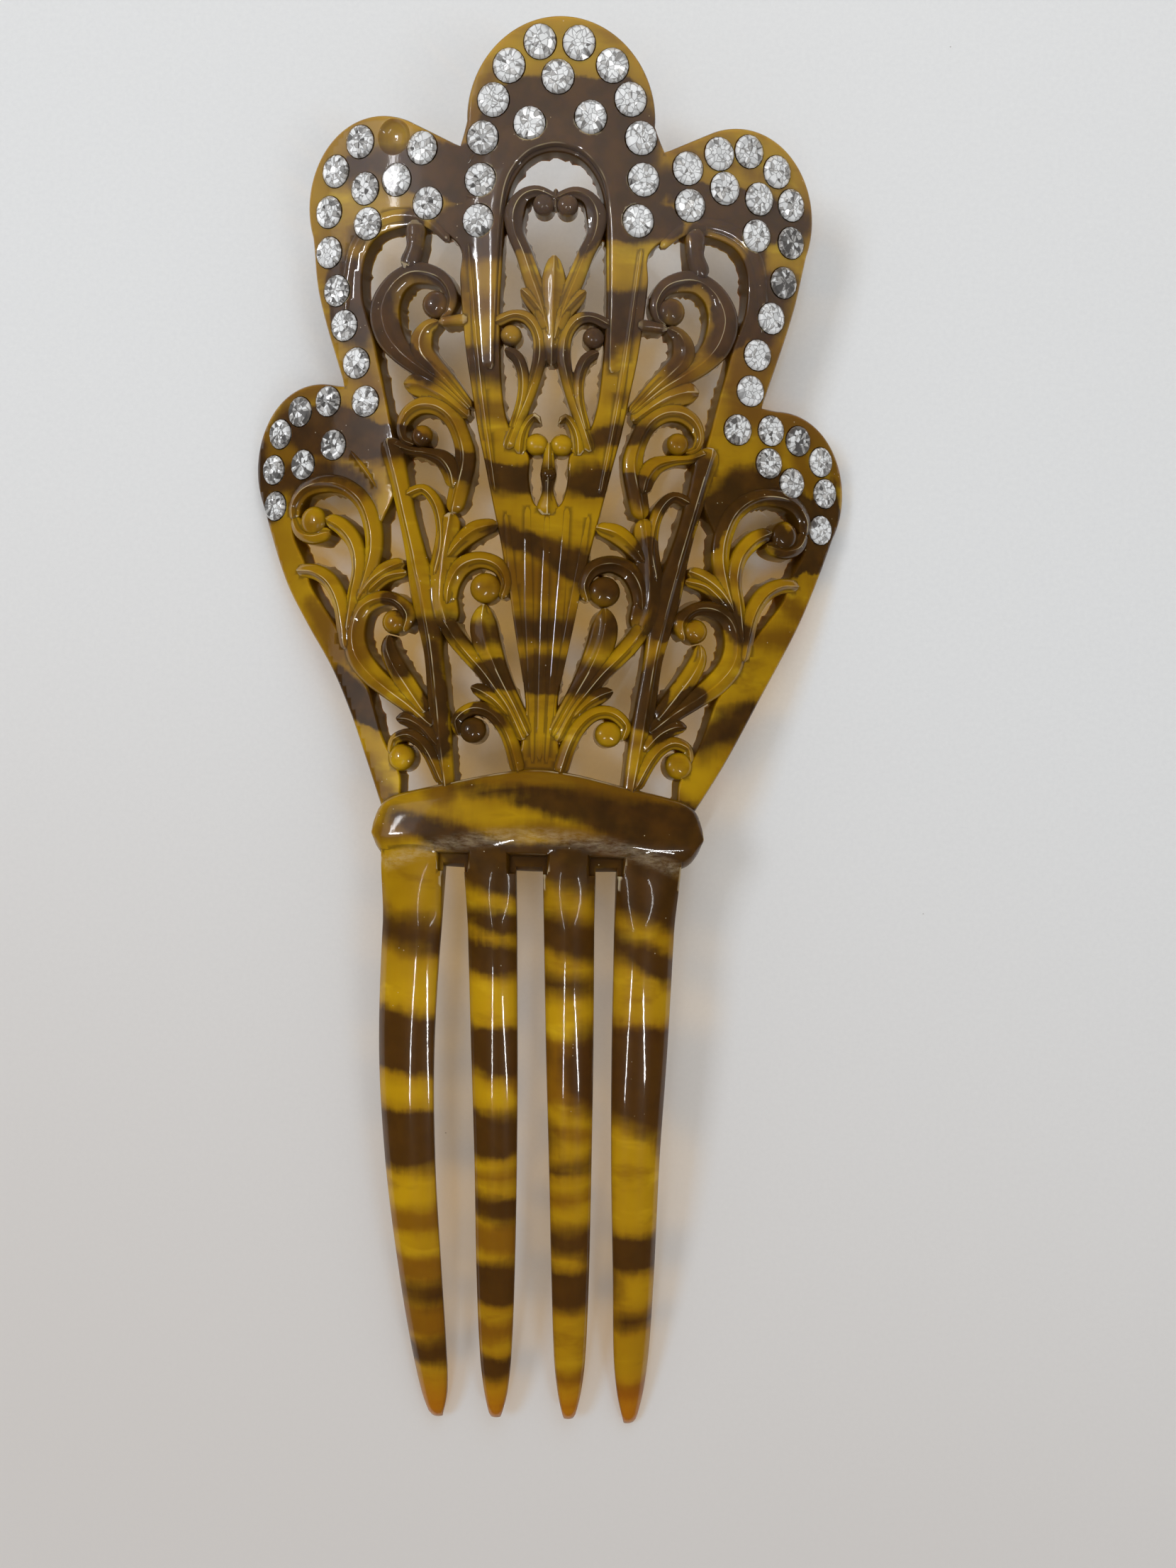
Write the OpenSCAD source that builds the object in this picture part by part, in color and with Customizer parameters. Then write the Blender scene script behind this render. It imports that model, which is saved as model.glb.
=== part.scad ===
// Jewelled back comb: a five-lobed pierced crown, a heading bar and four tines, lying face up.
// x runs across the comb, y towards the crown and z up, in millimetres.
// Every shape is drawn on the flat sheet as s (across) and t (along), measured from the middle
// of the heading bar, and lift() then bends the sheet to the curve of a head.

/* [Sheet] */
// Thickness of the sheet that the crown is cut from
sheet = 2.5; // [2:0.1:3]
// Height of the raised scrolls above the sheet
relief = 0.9; // [0.5:0.1:1.2]
// Thickness of the heading bar
bar_h = 4.2; // [3.6:0.1:5]
// Thickness of the tines just below the heading bar
tine_h = 3; // [2.6:0.1:3.4]
// Thickness of the tines at their tips
tip_h = 1.5; // [1.2:0.1:2]

/* [Bend] */
// Radius of the bend across the comb
bend_r = 75; // [68:1:100]
// Slope of the crown where it ends, in degrees, rising from the table
crown_slope = 13; // [8:1:16]
// Slope at the heading bar, in degrees, falling towards the crown
bar_slope = 3; // [0:1:5]
// Slope of the tines at their tips, in degrees, rising from the table
tip_slope = 16.4; // [12:0.1:20]

/* [Stones] */
// Diameter of each round stone
stone_d = 4.1; // [3.6:0.1:4.2]
// Clearance between a stone and the wall and floor of its socket
stone_gap = 0.12; // [0.1:0.01:0.2]
// Depth of a socket below the face of the sheet
socket_depth = 1.4; // [1.2:0.1:1.6]
// Height of a stone's table above the face of the sheet
table_rise = 0.8; // [0.5:0.1:1.1]

/* [Detail] */
// Narrowest scroll that carries a raised back, by its greatest width
ridge_from = 2.7; // [2.7:0.1:3.2]

/* [Hidden] */

shell_colour = "peru";
stone_colour = "whitesmoke";

// A height that is clear above the bent crown
above_all = 60;
// Arc lengths from the middle of the bar to the crown's top and to the longest tine's tip
top_t = 105.5;
tip_t = 87;
// Sides of a stone, of its socket and of a scroll's eye
stone_sides = 8;
// Width of a stone's back and of its table, as shares of its diameter
back_share = 0.76;
table_share = 0.56;
// How far the raised scrolls reach down into the sheet
root = 0.8;
// Height of an eye's dome, as a share of the relief
dome_rise = 1.3;
// Share of a scroll's width taken by its raised back, and of an eye's radius by its dome
ridge_share = 0.6;
dome_share = 0.8;
// Recess in the bar's face above each gap between tines: reach to each side, upper edge, how far
// it runs down and its floor
recess_side = 0.6;
recess_t = -3.1;
recess_run = 2.3;
recess_floor = 2.6;
// Where a tine's face has come down from the bar's face, and its height where it leaves the bar
root_end = 13;
root_h = bar_h - 0.2;

// Lobes of the crown, right to left: s and t of the centre, radius, first and last angle
lobes = [[32.2, 48.2, 11, -30, 95], [24.4, 83.4, 10.9, -20, 118], [0.4, 93.5, 12, -2, 182],
    [-23.5, 83.6, 10.8, 62, 200], [-32.8, 50, 11, 80, 205]];
// Notches between the lobes, right to left, with the bow of each waist: s, t
notches = [[[28.9, 59.3], [33, 72]], [[13.7, 90.3]], [[-12.4, 90.2]], [[-32.7, 72.5], [-28.6, 60.4]]];
// Flanks from the bar up to the lowest lobes: s, t
right_flank = [[21, 3.4], [25.1, 10], [30.6, 20], [36.2, 30], [39.4, 37]];
left_flank = [[-38, 34.3], [-33.9, 28], [-29.7, 22], [-26.6, 16], [-24.1, 10], [-21.4, 3.2]];

// Field on one side that is cut away before its scrolls are laid in: s, t
side_field = [[-12.1, 77.2], [-14, 79.2], [-17, 80.2], [-21, 80.1], [-24, 78.9], [-25.5, 76.3],
    [-25.7, 72], [-24.9, 69], [-24.1, 66.8], [-23.3, 63.5], [-22.4, 60], [-21.5, 56], [-20.4, 51],
    [-20.6, 46], [-21.9, 42.8], [-23.5, 40], [-24.2, 42.4], [-25.8, 45.2], [-28.2, 46.9],
    [-31.6, 47.4], [-34.6, 46.6], [-36.2, 44.4], [-36.6, 40.8], [-34.4, 36.6], [-33.4, 33.6],
    [-31, 30.4], [-28.6, 27.2], [-25.6, 21.6], [-23.8, 19.4], [-22.6, 16.2], [-21.3, 12.6],
    [-19.6, 9.4], [-18.6, 7.4], [-17.6, 2], [-3, 2], [-2.9, 8.6], [-2.5, 12], [-2.1, 17],
    [-2.5, 20.5], [-3.1, 26], [-3.9, 30], [-4.8, 33], [-5.5, 36.6], [-6.2, 40], [-7, 43.5],
    [-7.8, 47], [-8.5, 50.2], [-9.4, 54], [-10.3, 59], [-11.2, 64], [-11.8, 69], [-12.2, 74]];
// Half of the field under the arch: s, t
arch_field = [[0, 89.3], [-1.6, 89.1], [-3.4, 88.2], [-4.9, 86.5], [-5.9, 84.3], [-6.4, 81.5],
    [-6.6, 76], [-6.8, 70], [-6.7, 66], [-6.5, 62], [-6.1, 58], [-5.4, 55], [-4.2, 52.6],
    [-2.6, 50.9], [-2.5, 48], [-2.2, 46], [-1.5, 44.3], [0, 43.8]];

// Scrolls and leaves of one side, each a line of rows: s, t, width
scrolls = [
    // Upper field: great scroll, the leaf under it, its strut and the leaf below
    [[-14.6, 68.6, 0.8], [-13.6, 69.3, 1.1], [-13.2, 71.2, 1.6], [-14.4, 73.4, 2.2], [-16.8, 74.4, 2.8],
        [-19, 74.3, 3], [-21.2, 72.8, 3.6], [-22.5, 70, 4.5], [-21.9, 67, 4.2], [-20.2, 64.6, 3.3],
        [-17.6, 62.5, 2.7], [-14.2, 60.1, 2.2], [-10.6, 56.8, 1.6]],
    [[-14.8, 68.2, 1.2], [-16.3, 67.5, 2.2], [-17.2, 65.9, 3.2], [-17, 64.2, 3.1],
        [-15.5, 62.4, 2.8], [-13.4, 60.3, 2.3], [-10.4, 57, 1.4]],
    [[-11, 68.4, 2], [-12.8, 68.3, 1.5], [-14.8, 68.1, 1.4]],
    [[-18.2, 81, 3.2], [-18.2, 79.2, 2.8], [-18.3, 77.6, 2.5], [-19.4, 75, 3.2]],
    [[-19.4, 60.2, 2.8], [-17.2, 60, 3.4], [-14.5, 58.8, 3], [-10.6, 55.8, 1.8]],
    // Middle: scroll with its stem, the dark leaf, the hooked leaf, broad stem and fan leaf
    [[-18, 52.2, 0.9], [-19.3, 52.8, 1.2], [-19.8, 54.4, 1.6], [-18.9, 56.3, 2.2], [-17.1, 57.3, 2.4],
        [-14.8, 57.1, 2.5], [-12.8, 55.6, 2.6], [-11.5, 52.9, 2.6], [-11, 50.2, 2.9], [-11.6, 46.8, 3],
        [-12.4, 43, 2.6]],
    [[-21, 52.4, 1.8], [-18.6, 51.4, 1.3], [-16.2, 51, 1.6], [-14, 50.2, 2.6], [-12.7, 48.4, 2.8],
        [-12.3, 46.4, 2.6]],
    [[-19, 45.4, 1.8], [-16.6, 46.2, 1.6], [-14.9, 44.6, 1.8], [-14, 41.8, 1.8], [-13.8, 38.6, 2.4],
        [-14.6, 34.6, 2.6]],
    [[-12.6, 43, 3], [-13.2, 39, 3.4], [-13.6, 35, 4], [-13.6, 31, 4.4], [-12.6, 27.6, 4]],
    [[-13, 37, 1.6], [-11.2, 39.2, 2.4], [-9.2, 40.8, 2.8], [-6.4, 41.6, 1.8]],
    // Long ray from the shoulder down to the bar
    [[-21.6, 53, 4], [-20.2, 48, 3], [-18.9, 43, 2.7], [-17.6, 38, 3], [-16.4, 33, 3.8],
        [-15.4, 28.4, 3.4], [-14.6, 24, 2.8], [-13.8, 18, 3], [-13.1, 12.5, 3], [-12, 5, 2.4]],
    // Beside the centre: volute, stalk, its second leaf and the small leaf
    [[-5.6, 31.6, 1.4], [-5.1, 33.8, 1.6], [-6.2, 36, 2.2], [-8.6, 36.8, 2.4], [-11, 35.9, 2.7],
        [-12.4, 33.6, 2.6], [-12.8, 30.8, 2.4]],
    [[-7.9, 30.8, 1.6], [-8, 28.4, 3.6], [-7.4, 25.4, 3.8], [-6.2, 22.4, 3.2], [-4.9, 19.8, 2.6],
        [-3.4, 17, 2.2], [-1.6, 13.2, 2.2]],
    [[-13.4, 29, 2.6], [-11.6, 26.2, 2.6], [-9.6, 23.8, 2.4], [-7.8, 21.8, 2.2], [-6, 19.4, 2.2],
        [-4.2, 16.8, 2.2], [-2.2, 12.6, 2.2]],
    [[-9.3, 19.6, 1.4], [-7.8, 19, 2.2], [-6, 17.8, 2], [-4.2, 15.8, 1.6]],
    // Foot: scroll beside the centre, scroll beside the flank and its leaf
    [[-10.7, 13, 1.2], [-11.1, 15, 1.7], [-9.3, 16.6, 1.9], [-7.2, 16.5, 2], [-5.3, 15, 2.2],
        [-3.9, 12.4, 2.2], [-2.6, 8, 2.2]],
    [[-20.1, 10.2, 1.2], [-19.6, 12.2, 1.6], [-17.7, 12.9, 1.9], [-15.9, 12, 2.1],
        [-14.5, 10.2, 2.2], [-12.6, 6.4, 2.2]],
    [[-19.4, 15.1, 1.6], [-17.6, 15, 2.4], [-15.6, 13.9, 2.2], [-13.6, 11.6, 2]],
    // Flank, lower: scroll with a long stem and the leaf inside it
    [[-18.7, 27, 1.2], [-18.2, 29.3, 2.2], [-20, 31.2, 2], [-22.6, 31.4, 2.4], [-25, 30, 2.8],
        [-26.1, 27, 3.4], [-25.6, 24, 3.6], [-23.6, 21.4, 3.4], [-20.6, 19, 2.8],
        [-17.6, 16.9, 2.6], [-14.4, 14.2, 2.4]],
    [[-20.9, 26.5, 1.3], [-20.9, 24.6, 2.4], [-19.8, 22.2, 2.8], [-18, 19.6, 2.8], [-15.4, 16, 2.4]],
    // Flank, upper: great scroll, its lip, the inner leaf, the outer leaf and two leaf tips
    [[-36.3, 42.6, 2], [-36.3, 44.6, 2.2], [-34.6, 46.6, 2.4], [-31.6, 47.4, 2.6], [-28.2, 46.9, 2.6],
        [-25.4, 44.9, 2.8], [-23.9, 41.8, 3], [-23.5, 38.4, 2.8], [-24.2, 35, 2.4], [-25.4, 31.4, 2.2]],
    [[-36.4, 43, 2], [-35.3, 41, 2.2], [-33, 40.2, 2.2], [-30.2, 40.7, 2]],
    [[-30.9, 42.6, 2], [-28.4, 41.3, 2.6], [-26.4, 39, 2.6], [-25.7, 35.8, 2.4],
        [-26.3, 32, 2.4], [-27, 27, 2.8]],
    [[-35.6, 35.6, 2], [-32.6, 35.3, 2.3], [-30.2, 33.9, 2.6], [-28.6, 31.4, 2.6],
        [-27.8, 28.4, 2.8], [-27.2, 24.6, 2.8]],
    [[-25.6, 31.2, 2], [-23.6, 33.8, 2.6], [-21.4, 35.4, 2.6], [-19, 36.4, 2]],
    [[-24, 32.4, 1.8], [-21.4, 34.4, 1.8], [-18.6, 35, 1.4]],
    // Under the arch: heart scroll, palmette leaf, lyre scroll, its leaf and the small curl
    [[0.5, 83.4, 1.2], [-2.2, 84.5, 1.5], [-4.1, 83.9, 1.9], [-5.2, 82, 2.7], [-5.1, 79.6, 2.2],
        [-3.9, 76.8, 2.2], [-2.8, 73.8, 2.4], [-1.6, 70.6, 2.4], [-0.6, 67, 2]],
    [[-4.1, 72.3, 1.4], [-2.9, 71.2, 2.2], [-1.2, 69, 2.2], [-0.2, 65.6, 1.6]],
    [[-7.4, 68, 1.6], [-5, 69, 1.5], [-3.2, 68.6, 1.7], [-1.9, 66.8, 1.7], [-1.5, 64.2, 2],
        [-2, 61.4, 1.8], [-2.9, 58.4, 1.7], [-4.2, 55, 1.8], [-5.4, 51.6, 2]],
    [[-6, 64.6, 1.3], [-4.4, 63.5, 1.7], [-3.6, 61, 1.6], [-3.7, 58, 1.6], [-4.7, 54, 1.8]],
    [[-1.2, 55.1, 1], [-2, 55.9, 1.2], [-3, 54.8, 1.4], [-3.6, 53.2, 1.8], [-3.8, 51, 2]]];
// Bridge of the heart, leaf and stem on the middle line: s, t, width
middle_scrolls = [[[0, 84.8, 1], [0, 82.6, 1]],
    [[0, 76.6, 1.6], [0, 73.6, 3.2], [0, 70, 3], [0, 66, 3], [0, 62.6, 1.2]],
    [[0, 52.6, 1.2], [0, 50.4, 1.6], [0, 48.4, 2.2], [0, 46.2, 1.6], [0, 43, 4]]];
// Raised mouldings of one side that border a plate or run along a ray: s, t, width
mouldings = [
    [[-28.2, 69, 0.9], [-27.9, 74, 1.8], [-26.8, 78.2, 2], [-24.2, 80.8, 2], [-20.4, 81.8, 1.8],
        [-16.6, 81, 1.6], [-13.6, 78.4, 1]],
    [[-11, 78, 0.8], [-9, 60, 1.2], [-6.8, 46, 0.8]]];
// Left half of the moulding round the arch: s, t, width
arch_moulding = [[-7.8, 62, 0.8], [-7.9, 74, 1.6], [-7.7, 82, 2.2], [-6.7, 86.6, 2.2],
    [-4.2, 89.7, 2.2], [-1.2, 90.9, 2.2]];
// Ridge on the middle line of the fan: s, t, width
middle_moulding = [[0, 43, 0.8], [0, 32, 1.2], [0, 20, 1.2], [0, 10, 0.8]];
// Round eyes of the scrolls of one side: s, t, radius
eyes = [[-15.4, 70.4, 1.8], [-16.9, 53.3, 1.5], [-7.8, 33, 2.1], [-8.9, 13.7, 1.8],
    [-18.6, 9.8, 1.9], [-20.3, 28.3, 1.7], [-33.2, 42.3, 2.1], [-1.5, 82.9, 1.4],
    [-5.3, 66.4, 1.4], [-1.6, 52.3, 1.5], [-18.3, 78.8, 1.2]];
middle_eye = [0, 48.4, 1.1];

// Tines, left to right, each a line of rows: s, t, width
tines = [
    [[-16.3, -1, 8.6], [-17.1, -28, 8], [-16.4, -45, 7.3], [-14.8, -62, 6.3],
        [-13.4, -75, 5.1], [-12.6, -82, 3.8], [-12.2, -86.2, 1.6]],
    [[-6.1, -1, 6.8], [-4.9, -28, 6.3], [-4.3, -45, 5.8], [-4, -62, 5.3],
        [-3.8, -75, 4.4], [-3.7, -81, 3.2], [-3.7, -85.2, 1.4]],
    [[4.2, -1, 6.9], [5.2, -28, 6.4], [5.8, -45, 5.8], [6.3, -62, 5.2],
        [6.6, -75, 4.4], [6.7, -81, 3.2], [6.7, -85.3, 1.4]],
    [[14.9, -1, 8.6], [14.8, -28, 7.8], [14.8, -45, 6.8], [15.2, -62, 5.9],
        [15.4, -75, 5.1], [15.5, -82, 3.7], [15.5, -87, 1.5]]];
// Section of a tine, flattened in front between round shoulders: share of half width, of height
tine_section = [[-0.6, 0], [-1, 0.35], [-0.85, 0.85], [-0.5, 1], [0.5, 1], [0.85, 0.85],
    [1, 0.35], [0.6, 0]];
// Section of a raised scroll: share of half width, of height
ridge_section = [[-ridge_share, 0], [0, 1], [ridge_share, 0]];

// Heading bar, left to right: s, lower edge, upper edge
bar_rows = [[-21.8, -0.8, 1], [-21.3, -2.6, 2.8], [-20.2, -4, 4.2], [-18.2, -4.5, 5],
    [-12, -4.8, 6.5], [-5, -5, 8.1], [0, -5.1, 8.7], [5, -5, 8.1], [12, -4.8, 6.5], [18.2, -4.5, 5.2],
    [20.2, -3.6, 4.4], [21.3, -2, 3], [21.8, -0.2, 1.4]];
// Section of the bar: share of its width from the lower edge, share of its height
bar_section = [[0.02, 0], [0, 0.45], [0.1, 0.8], [0.32, 1], [0.7, 0.95], [0.94, 0.8], [1, 0.6],
    [0.98, 0]];

// Stones of each lobe: s, t
top_stones = [[-2.4, 102.2], [2.4, 102.2], [-6.2, 99.4], [6.6, 99.8], [-0.1, 98.2], [-8.1, 95.4],
    [9, 96], [-3.5, 92.6], [4.1, 93.6], [-9.4, 90.9], [10.5, 91.5], [-9.6, 85.8], [11, 86.5],
    [-9.8, 80.8], [10.5, 81.4]];
upper_left_stones = [[-26, 91.2], [-17.3, 89.9], [-29.7, 87.9], [-20.8, 86.2], [-25.3, 85.4],
    [-16.5, 83.1], [-30.8, 82.9], [-24.9, 81], [-30.8, 77.8], [-29.6, 72.8], [-28.4, 68.2],
    [-26.5, 63.2], [-25.1, 58.1]];
upper_right_stones = [[16.7, 88.4], [20.8, 90.6], [24.9, 91.4], [29.1, 89.5], [21.8, 86.5],
    [17.2, 83.9], [26.7, 85.8], [31.5, 85.7], [26.6, 81.2], [31.8, 81], [31, 75.8], [29.4, 71],
    [27.6, 66], [26.8, 61.2]];
lower_left_stones = [[-30.9, 58.4], [-35.6, 57.3], [-39.1, 54.5], [-40.3, 49.7], [-35, 50.1],
    [-30, 52.5], [-39.9, 44.7]];
lower_right_stones = [[25.2, 55.9], [30.2, 56.3], [34.6, 55.4], [38.6, 53], [30.1, 51.9],
    [33.9, 49.6], [39.6, 48.8], [39.1, 43.7]];
// Socket that has lost its stone: s, t
empty_socket = [-21.2, 91.5];

// Slope of the side profile at t, in degrees
function slope(t) = t < 0 ? -bar_slope - (tip_slope + bar_slope) * t / tip_t
    : -bar_slope + (crown_slope + bar_slope) * t / top_t;
// Turn of the side profile, in radians per millimetre
function turn(t) = (t < 0 ? -(tip_slope + bar_slope) / tip_t : (crown_slope + bar_slope) / top_t)
    * PI / 180;
// Side profile of the underside along the middle line: y and z
function side_y(t) = (sin(slope(t)) + sin(bar_slope)) / turn(t);
function side_z(t) = (cos(bar_slope) - cos(slope(t))) / turn(t);
// Angle in degrees round the bend at s
function round_angle(s) = s / bend_r * 180 / PI;
// Point at s and t, h above the underside of the bent sheet, from the middle of the bar
function bent(s, t, h) = let (out = (bend_r + h) * cos(round_angle(s)) - bend_r)
    [(bend_r + h) * sin(round_angle(s)), side_y(t) - sin(slope(t)) * out,
    side_z(t) + cos(slope(t)) * out];
// Outermost points: right and left lobe, apex of the crown, tip of the right and left tine
right_lobe = [lobes[0][0] + lobes[0][2], lobes[0][1]];
left_lobe = [lobes[4][0] - lobes[4][2], lobes[4][1]];
apex = [lobes[2][0], lobes[2][1] + lobes[2][2]];
right_tip = tines[3][len(tines[3]) - 1];
left_tip = tines[0][len(tines[0]) - 1];
// Shift that sets the lowest point on the table and the middle of the outer size over the origin
home = [-(bent(right_lobe[0], right_lobe[1], sheet)[0] + bent(left_lobe[0], left_lobe[1], sheet)[0]) / 2,
    -(bent(apex[0], apex[1], sheet)[1] + bent(right_tip[0], right_tip[1], tip_h)[1]) / 2,
    -min([for (p = [right_lobe, left_lobe, right_tip, left_tip]) bent(p[0], p[1], 0)[2]])];
function lift(s, t, h) = home + bent(s, t, h);
// The same point seen from above, on the face of the sheet
function plan(p) = let (q = lift(p[0], p[1], sheet)) [q[0], q[1]];

function mirrored(rows) = [for (r = rows) len(r) == 2 ? [-r[0], r[1]] : [-r[0], r[1], r[2]]];
function widest(rows) = max([for (r = rows) r[2]]);
function turned(rows) = [for (i = [len(rows) - 1 : -1 : 0]) rows[i]];
function arc_points(lobe, step = 15) = let (count = ceil((lobe[4] - lobe[3]) / step))
    [for (k = [0 : count]) let (a = lobe[3] + (lobe[4] - lobe[3]) * k / count)
        [lobe[0] + lobe[2] * cos(a), lobe[1] + lobe[2] * sin(a)]];
// Direction across a line of rows at row i, as a unit vector
function across(rows, i) = let (a = rows[max(i - 1, 0)], b = rows[min(i + 1, len(rows) - 1)],
    d = [b[0] - a[0], b[1] - a[1]]) [d[1], -d[0]] / norm(d);
// Outline of a stroke, on the flat sheet
function stroke_outline(rows) = let (last = len(rows) - 1)
    concat([for (i = [0 : last]) let (n = across(rows, i)) [rows[i][0], rows[i][1]] + n * rows[i][2] / 2],
        [for (i = [last : -1 : 0]) let (n = across(rows, i)) [rows[i][0], rows[i][1]] - n * rows[i][2] / 2]);

outline = concat(right_flank, arc_points(lobes[0]), notches[0], arc_points(lobes[1]), notches[1],
    arc_points(lobes[2]), notches[2], arc_points(lobes[3]), notches[3], arc_points(lobes[4]), left_flank,
    [[-19.6, 0], [19.6, 0]]);
full_arch = concat(arch_field, turned(mirrored([for (i = [1 : len(arch_field) - 2]) arch_field[i]])));
every_scroll = concat(scrolls, [for (s = scrolls) mirrored(s)], middle_scrolls);
every_moulding = concat(mouldings, [for (m = mouldings) mirrored(m)],
    [concat(arch_moulding, turned(mirrored(arch_moulding))), middle_moulding]);
every_eye = concat(eyes, mirrored(eyes), [middle_eye]);
every_stone = concat(top_stones, upper_left_stones, upper_right_stones, lower_left_stones,
    lower_right_stones, [empty_socket]);

// Lays a child on the face of the bent sheet at s and t, its z along the outward normal
module at(s, t, h = 0) {
    a = slope(t);
    f = round_angle(s);
    p = lift(s, t, h);
    multmatrix([[cos(f), 0, sin(f), p[0]],
        [sin(a) * sin(f), cos(a), -sin(a) * cos(f), p[1]],
        [-cos(a) * sin(f), sin(a), cos(a) * cos(f), p[2]]]) children();
}

// Solid between two ends whose sections follow one another: a list of equally long point rings
module skin(rings) {
    n = len(rings[0]);
    last = len(rings) - 1;
    points = [for (r = rings) each r];
    walls = [for (i = [0 : last - 1], k = [0 : n - 1]) let (j = (k + 1) % n)
        each [[i * n + k, (i + 1) * n + j, i * n + j], [i * n + k, (i + 1) * n + k, (i + 1) * n + j]]];
    first_cap = [for (k = [1 : n - 2]) [0, k, k + 1]];
    last_cap = [for (k = [1 : n - 2]) [last * n, last * n + k + 1, last * n + k]];
    polyhedron(points, concat(walls, first_cap, last_cap));
}

// Bent bar that follows rows of s, t and width, with heights from low to high
module strand(rows, section, low, heights) {
    skin([for (i = [0 : len(rows) - 1]) let (n = across(rows, i))
        [for (q = section) lift(rows[i][0] + n[0] * q[0] * rows[i][2] / 2,
            rows[i][1] + n[1] * q[0] * rows[i][2] / 2, low + q[1] * (heights[i] - low))]]);
}

// Face of the crown seen from above: lobes, less the cut fields, with the scrolls laid in
module crown_face() {
    offset(delta = 0) {
        difference() {
            polygon([for (p = outline) plan(p)]);
            polygon([for (p = side_field) plan(p)]);
            polygon([for (p = mirrored(side_field)) plan(p)]);
            polygon([for (p = full_arch) plan(p)]);
        }
        for (s = every_scroll) polygon([for (p = stroke_outline(s)) plan(p)]);
        for (e = every_eye) polygon([for (k = [0 : stone_sides - 1]) plan([e[0]
            + e[2] * cos(360 * (k + 0.5) / stone_sides), e[1] + e[2] * sin(360 * (k + 0.5) / stone_sides)])]);
    }
}

// Bent sheet without its outline, over the whole crown
module bent_sheet(half_width = 46.4, first = -0.7, end = 106.6, columns = 9, rows = 4) {
    ss = [for (i = [0 : columns]) half_width * (2 * i / columns - 1)];
    skin([for (j = [0 : rows]) let (t = first + (end - first) * j / rows)
        concat([for (i = [columns : -1 : 0]) lift(ss[i], t, 0)], [for (s = ss) lift(s, t, sheet)])]);
}

// Raised back of one scroll, tapered at both ends
module ridge(rows) {
    strand(rows, ridge_section, sheet - root, [for (r = rows) sheet + relief * min(1, r[2] / ridge_from)]);
}

// Domed eye of a scroll
module eye(e) {
    hull() {
        at(e[0], e[1], sheet - root) cylinder(r = e[2] * dome_share, h = root, $fn = stone_sides);
        at(e[0], e[1], sheet) cylinder(r = e[2] * dome_share / 2, h = relief * dome_rise, $fn = stone_sides);
    }
}

// Heading bar with its low gable towards the crown
module heading_bar() {
    skin([for (b = turned(bar_rows)) [for (q = bar_section)
        lift(b[0], b[1] + q[0] * (b[2] - b[1]), q[1] * bar_h)]]);
}

// Rows of a tine with two more near the bar, where its face comes down from the bar
function rooted(rows) = let (a = rows[0], b = rows[1])
    concat([a], [for (t = [-6, -root_end]) a + (b - a) * (a[1] - t) / (a[1] - b[1])],
        [for (i = [1 : len(rows) - 1]) rows[i]]);
// Height of a tine's face at t: thinner towards the tip, and up to the bar at its root
function tine_height(t) = let (thin = tine_h + (tip_h - tine_h) * max(0, -t) / tip_t,
    k = max(0, min(1, (root_end + t) / (root_end - 3)))) thin + (root_h - thin) * k * k * (3 - 2 * k);
// Tine that gets thinner from the bar to its tip
module tine(rows) {
    strand(rooted(rows), tine_section, 0, [for (r = rooted(rows)) tine_height(r[1])]);
}

// Stepped recess in the face of the bar, above the gap between two tines
module recess(left, right) {
    from = left[0] + left[2] / 2 - recess_side;
    to = right[0] - right[2] / 2 + recess_side;
    at((from + to) / 2, recess_t, recess_floor) translate([(from - to) / 2, -recess_run, 0])
        cube([to - from, recess_run, bar_h]);
}

// Blind round socket for one stone
module socket(p) {
    at(p[0], p[1], sheet - socket_depth)
        cylinder(d = stone_d + 2 * stone_gap, h = socket_depth + relief * 2, $fn = stone_sides);
}

// Cut stone: table, bevelled crown, girdle and a tapered back
module stone(p) {
    floor_h = sheet - socket_depth + stone_gap;
    rings = [[back_share, floor_h], [1, sheet], [table_share, sheet + table_rise]];
    at(p[0], p[1], 0) skin([for (r = rings) [for (k = [0 : stone_sides - 1])
        let (a = 360 * k / stone_sides, q = r[0] * stone_d / 2) [q * cos(a), q * sin(a), r[1]]]]);
}

module comb_body() {
    color(shell_colour) difference() {
        union() {
            intersection() {
                bent_sheet();
                linear_extrude(height = above_all) crown_face();
            }
            for (s = every_scroll) if (widest(s) >= ridge_from) ridge(s);
            for (m = every_moulding) ridge(m);
            for (e = every_eye) eye(e);
            heading_bar();
            for (t = tines) tine(t);
        }
        for (p = every_stone) socket(p);
        for (i = [0 : len(tines) - 2]) recess(tines[i][0], tines[i + 1][0]);
    }
}

module stone_field(places) {
    color(stone_colour) for (p = places) stone(p);
}

module stones_top() { stone_field(top_stones); }
module stones_upper_left() { stone_field(upper_left_stones); }
module stones_upper_right() { stone_field(upper_right_stones); }
module stones_lower_left() { stone_field(lower_left_stones); }
module stones_lower_right() { stone_field(lower_right_stones); }

comb_body();
stones_top();
stones_upper_left();
stones_upper_right();
stones_lower_left();
stones_lower_right();
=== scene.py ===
# %% [markdown]
# # A jewelled back comb
# The comb is one sheet of mottled, tortoiseshell-coloured plastic with a moulded and pierced
# crown, a thick heading bar and four tines, and 57 foil-backed stones are set round the crown.
# Everything is drawn on the flat sheet, as the maker had it, and bent to the head at the end.
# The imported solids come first: they give the frame and the size that nothing here may leave.

# %% Frame
import math
import random
import bmesh
import bpy
import numpy as np
from mathutils import Matrix, Vector


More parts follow.
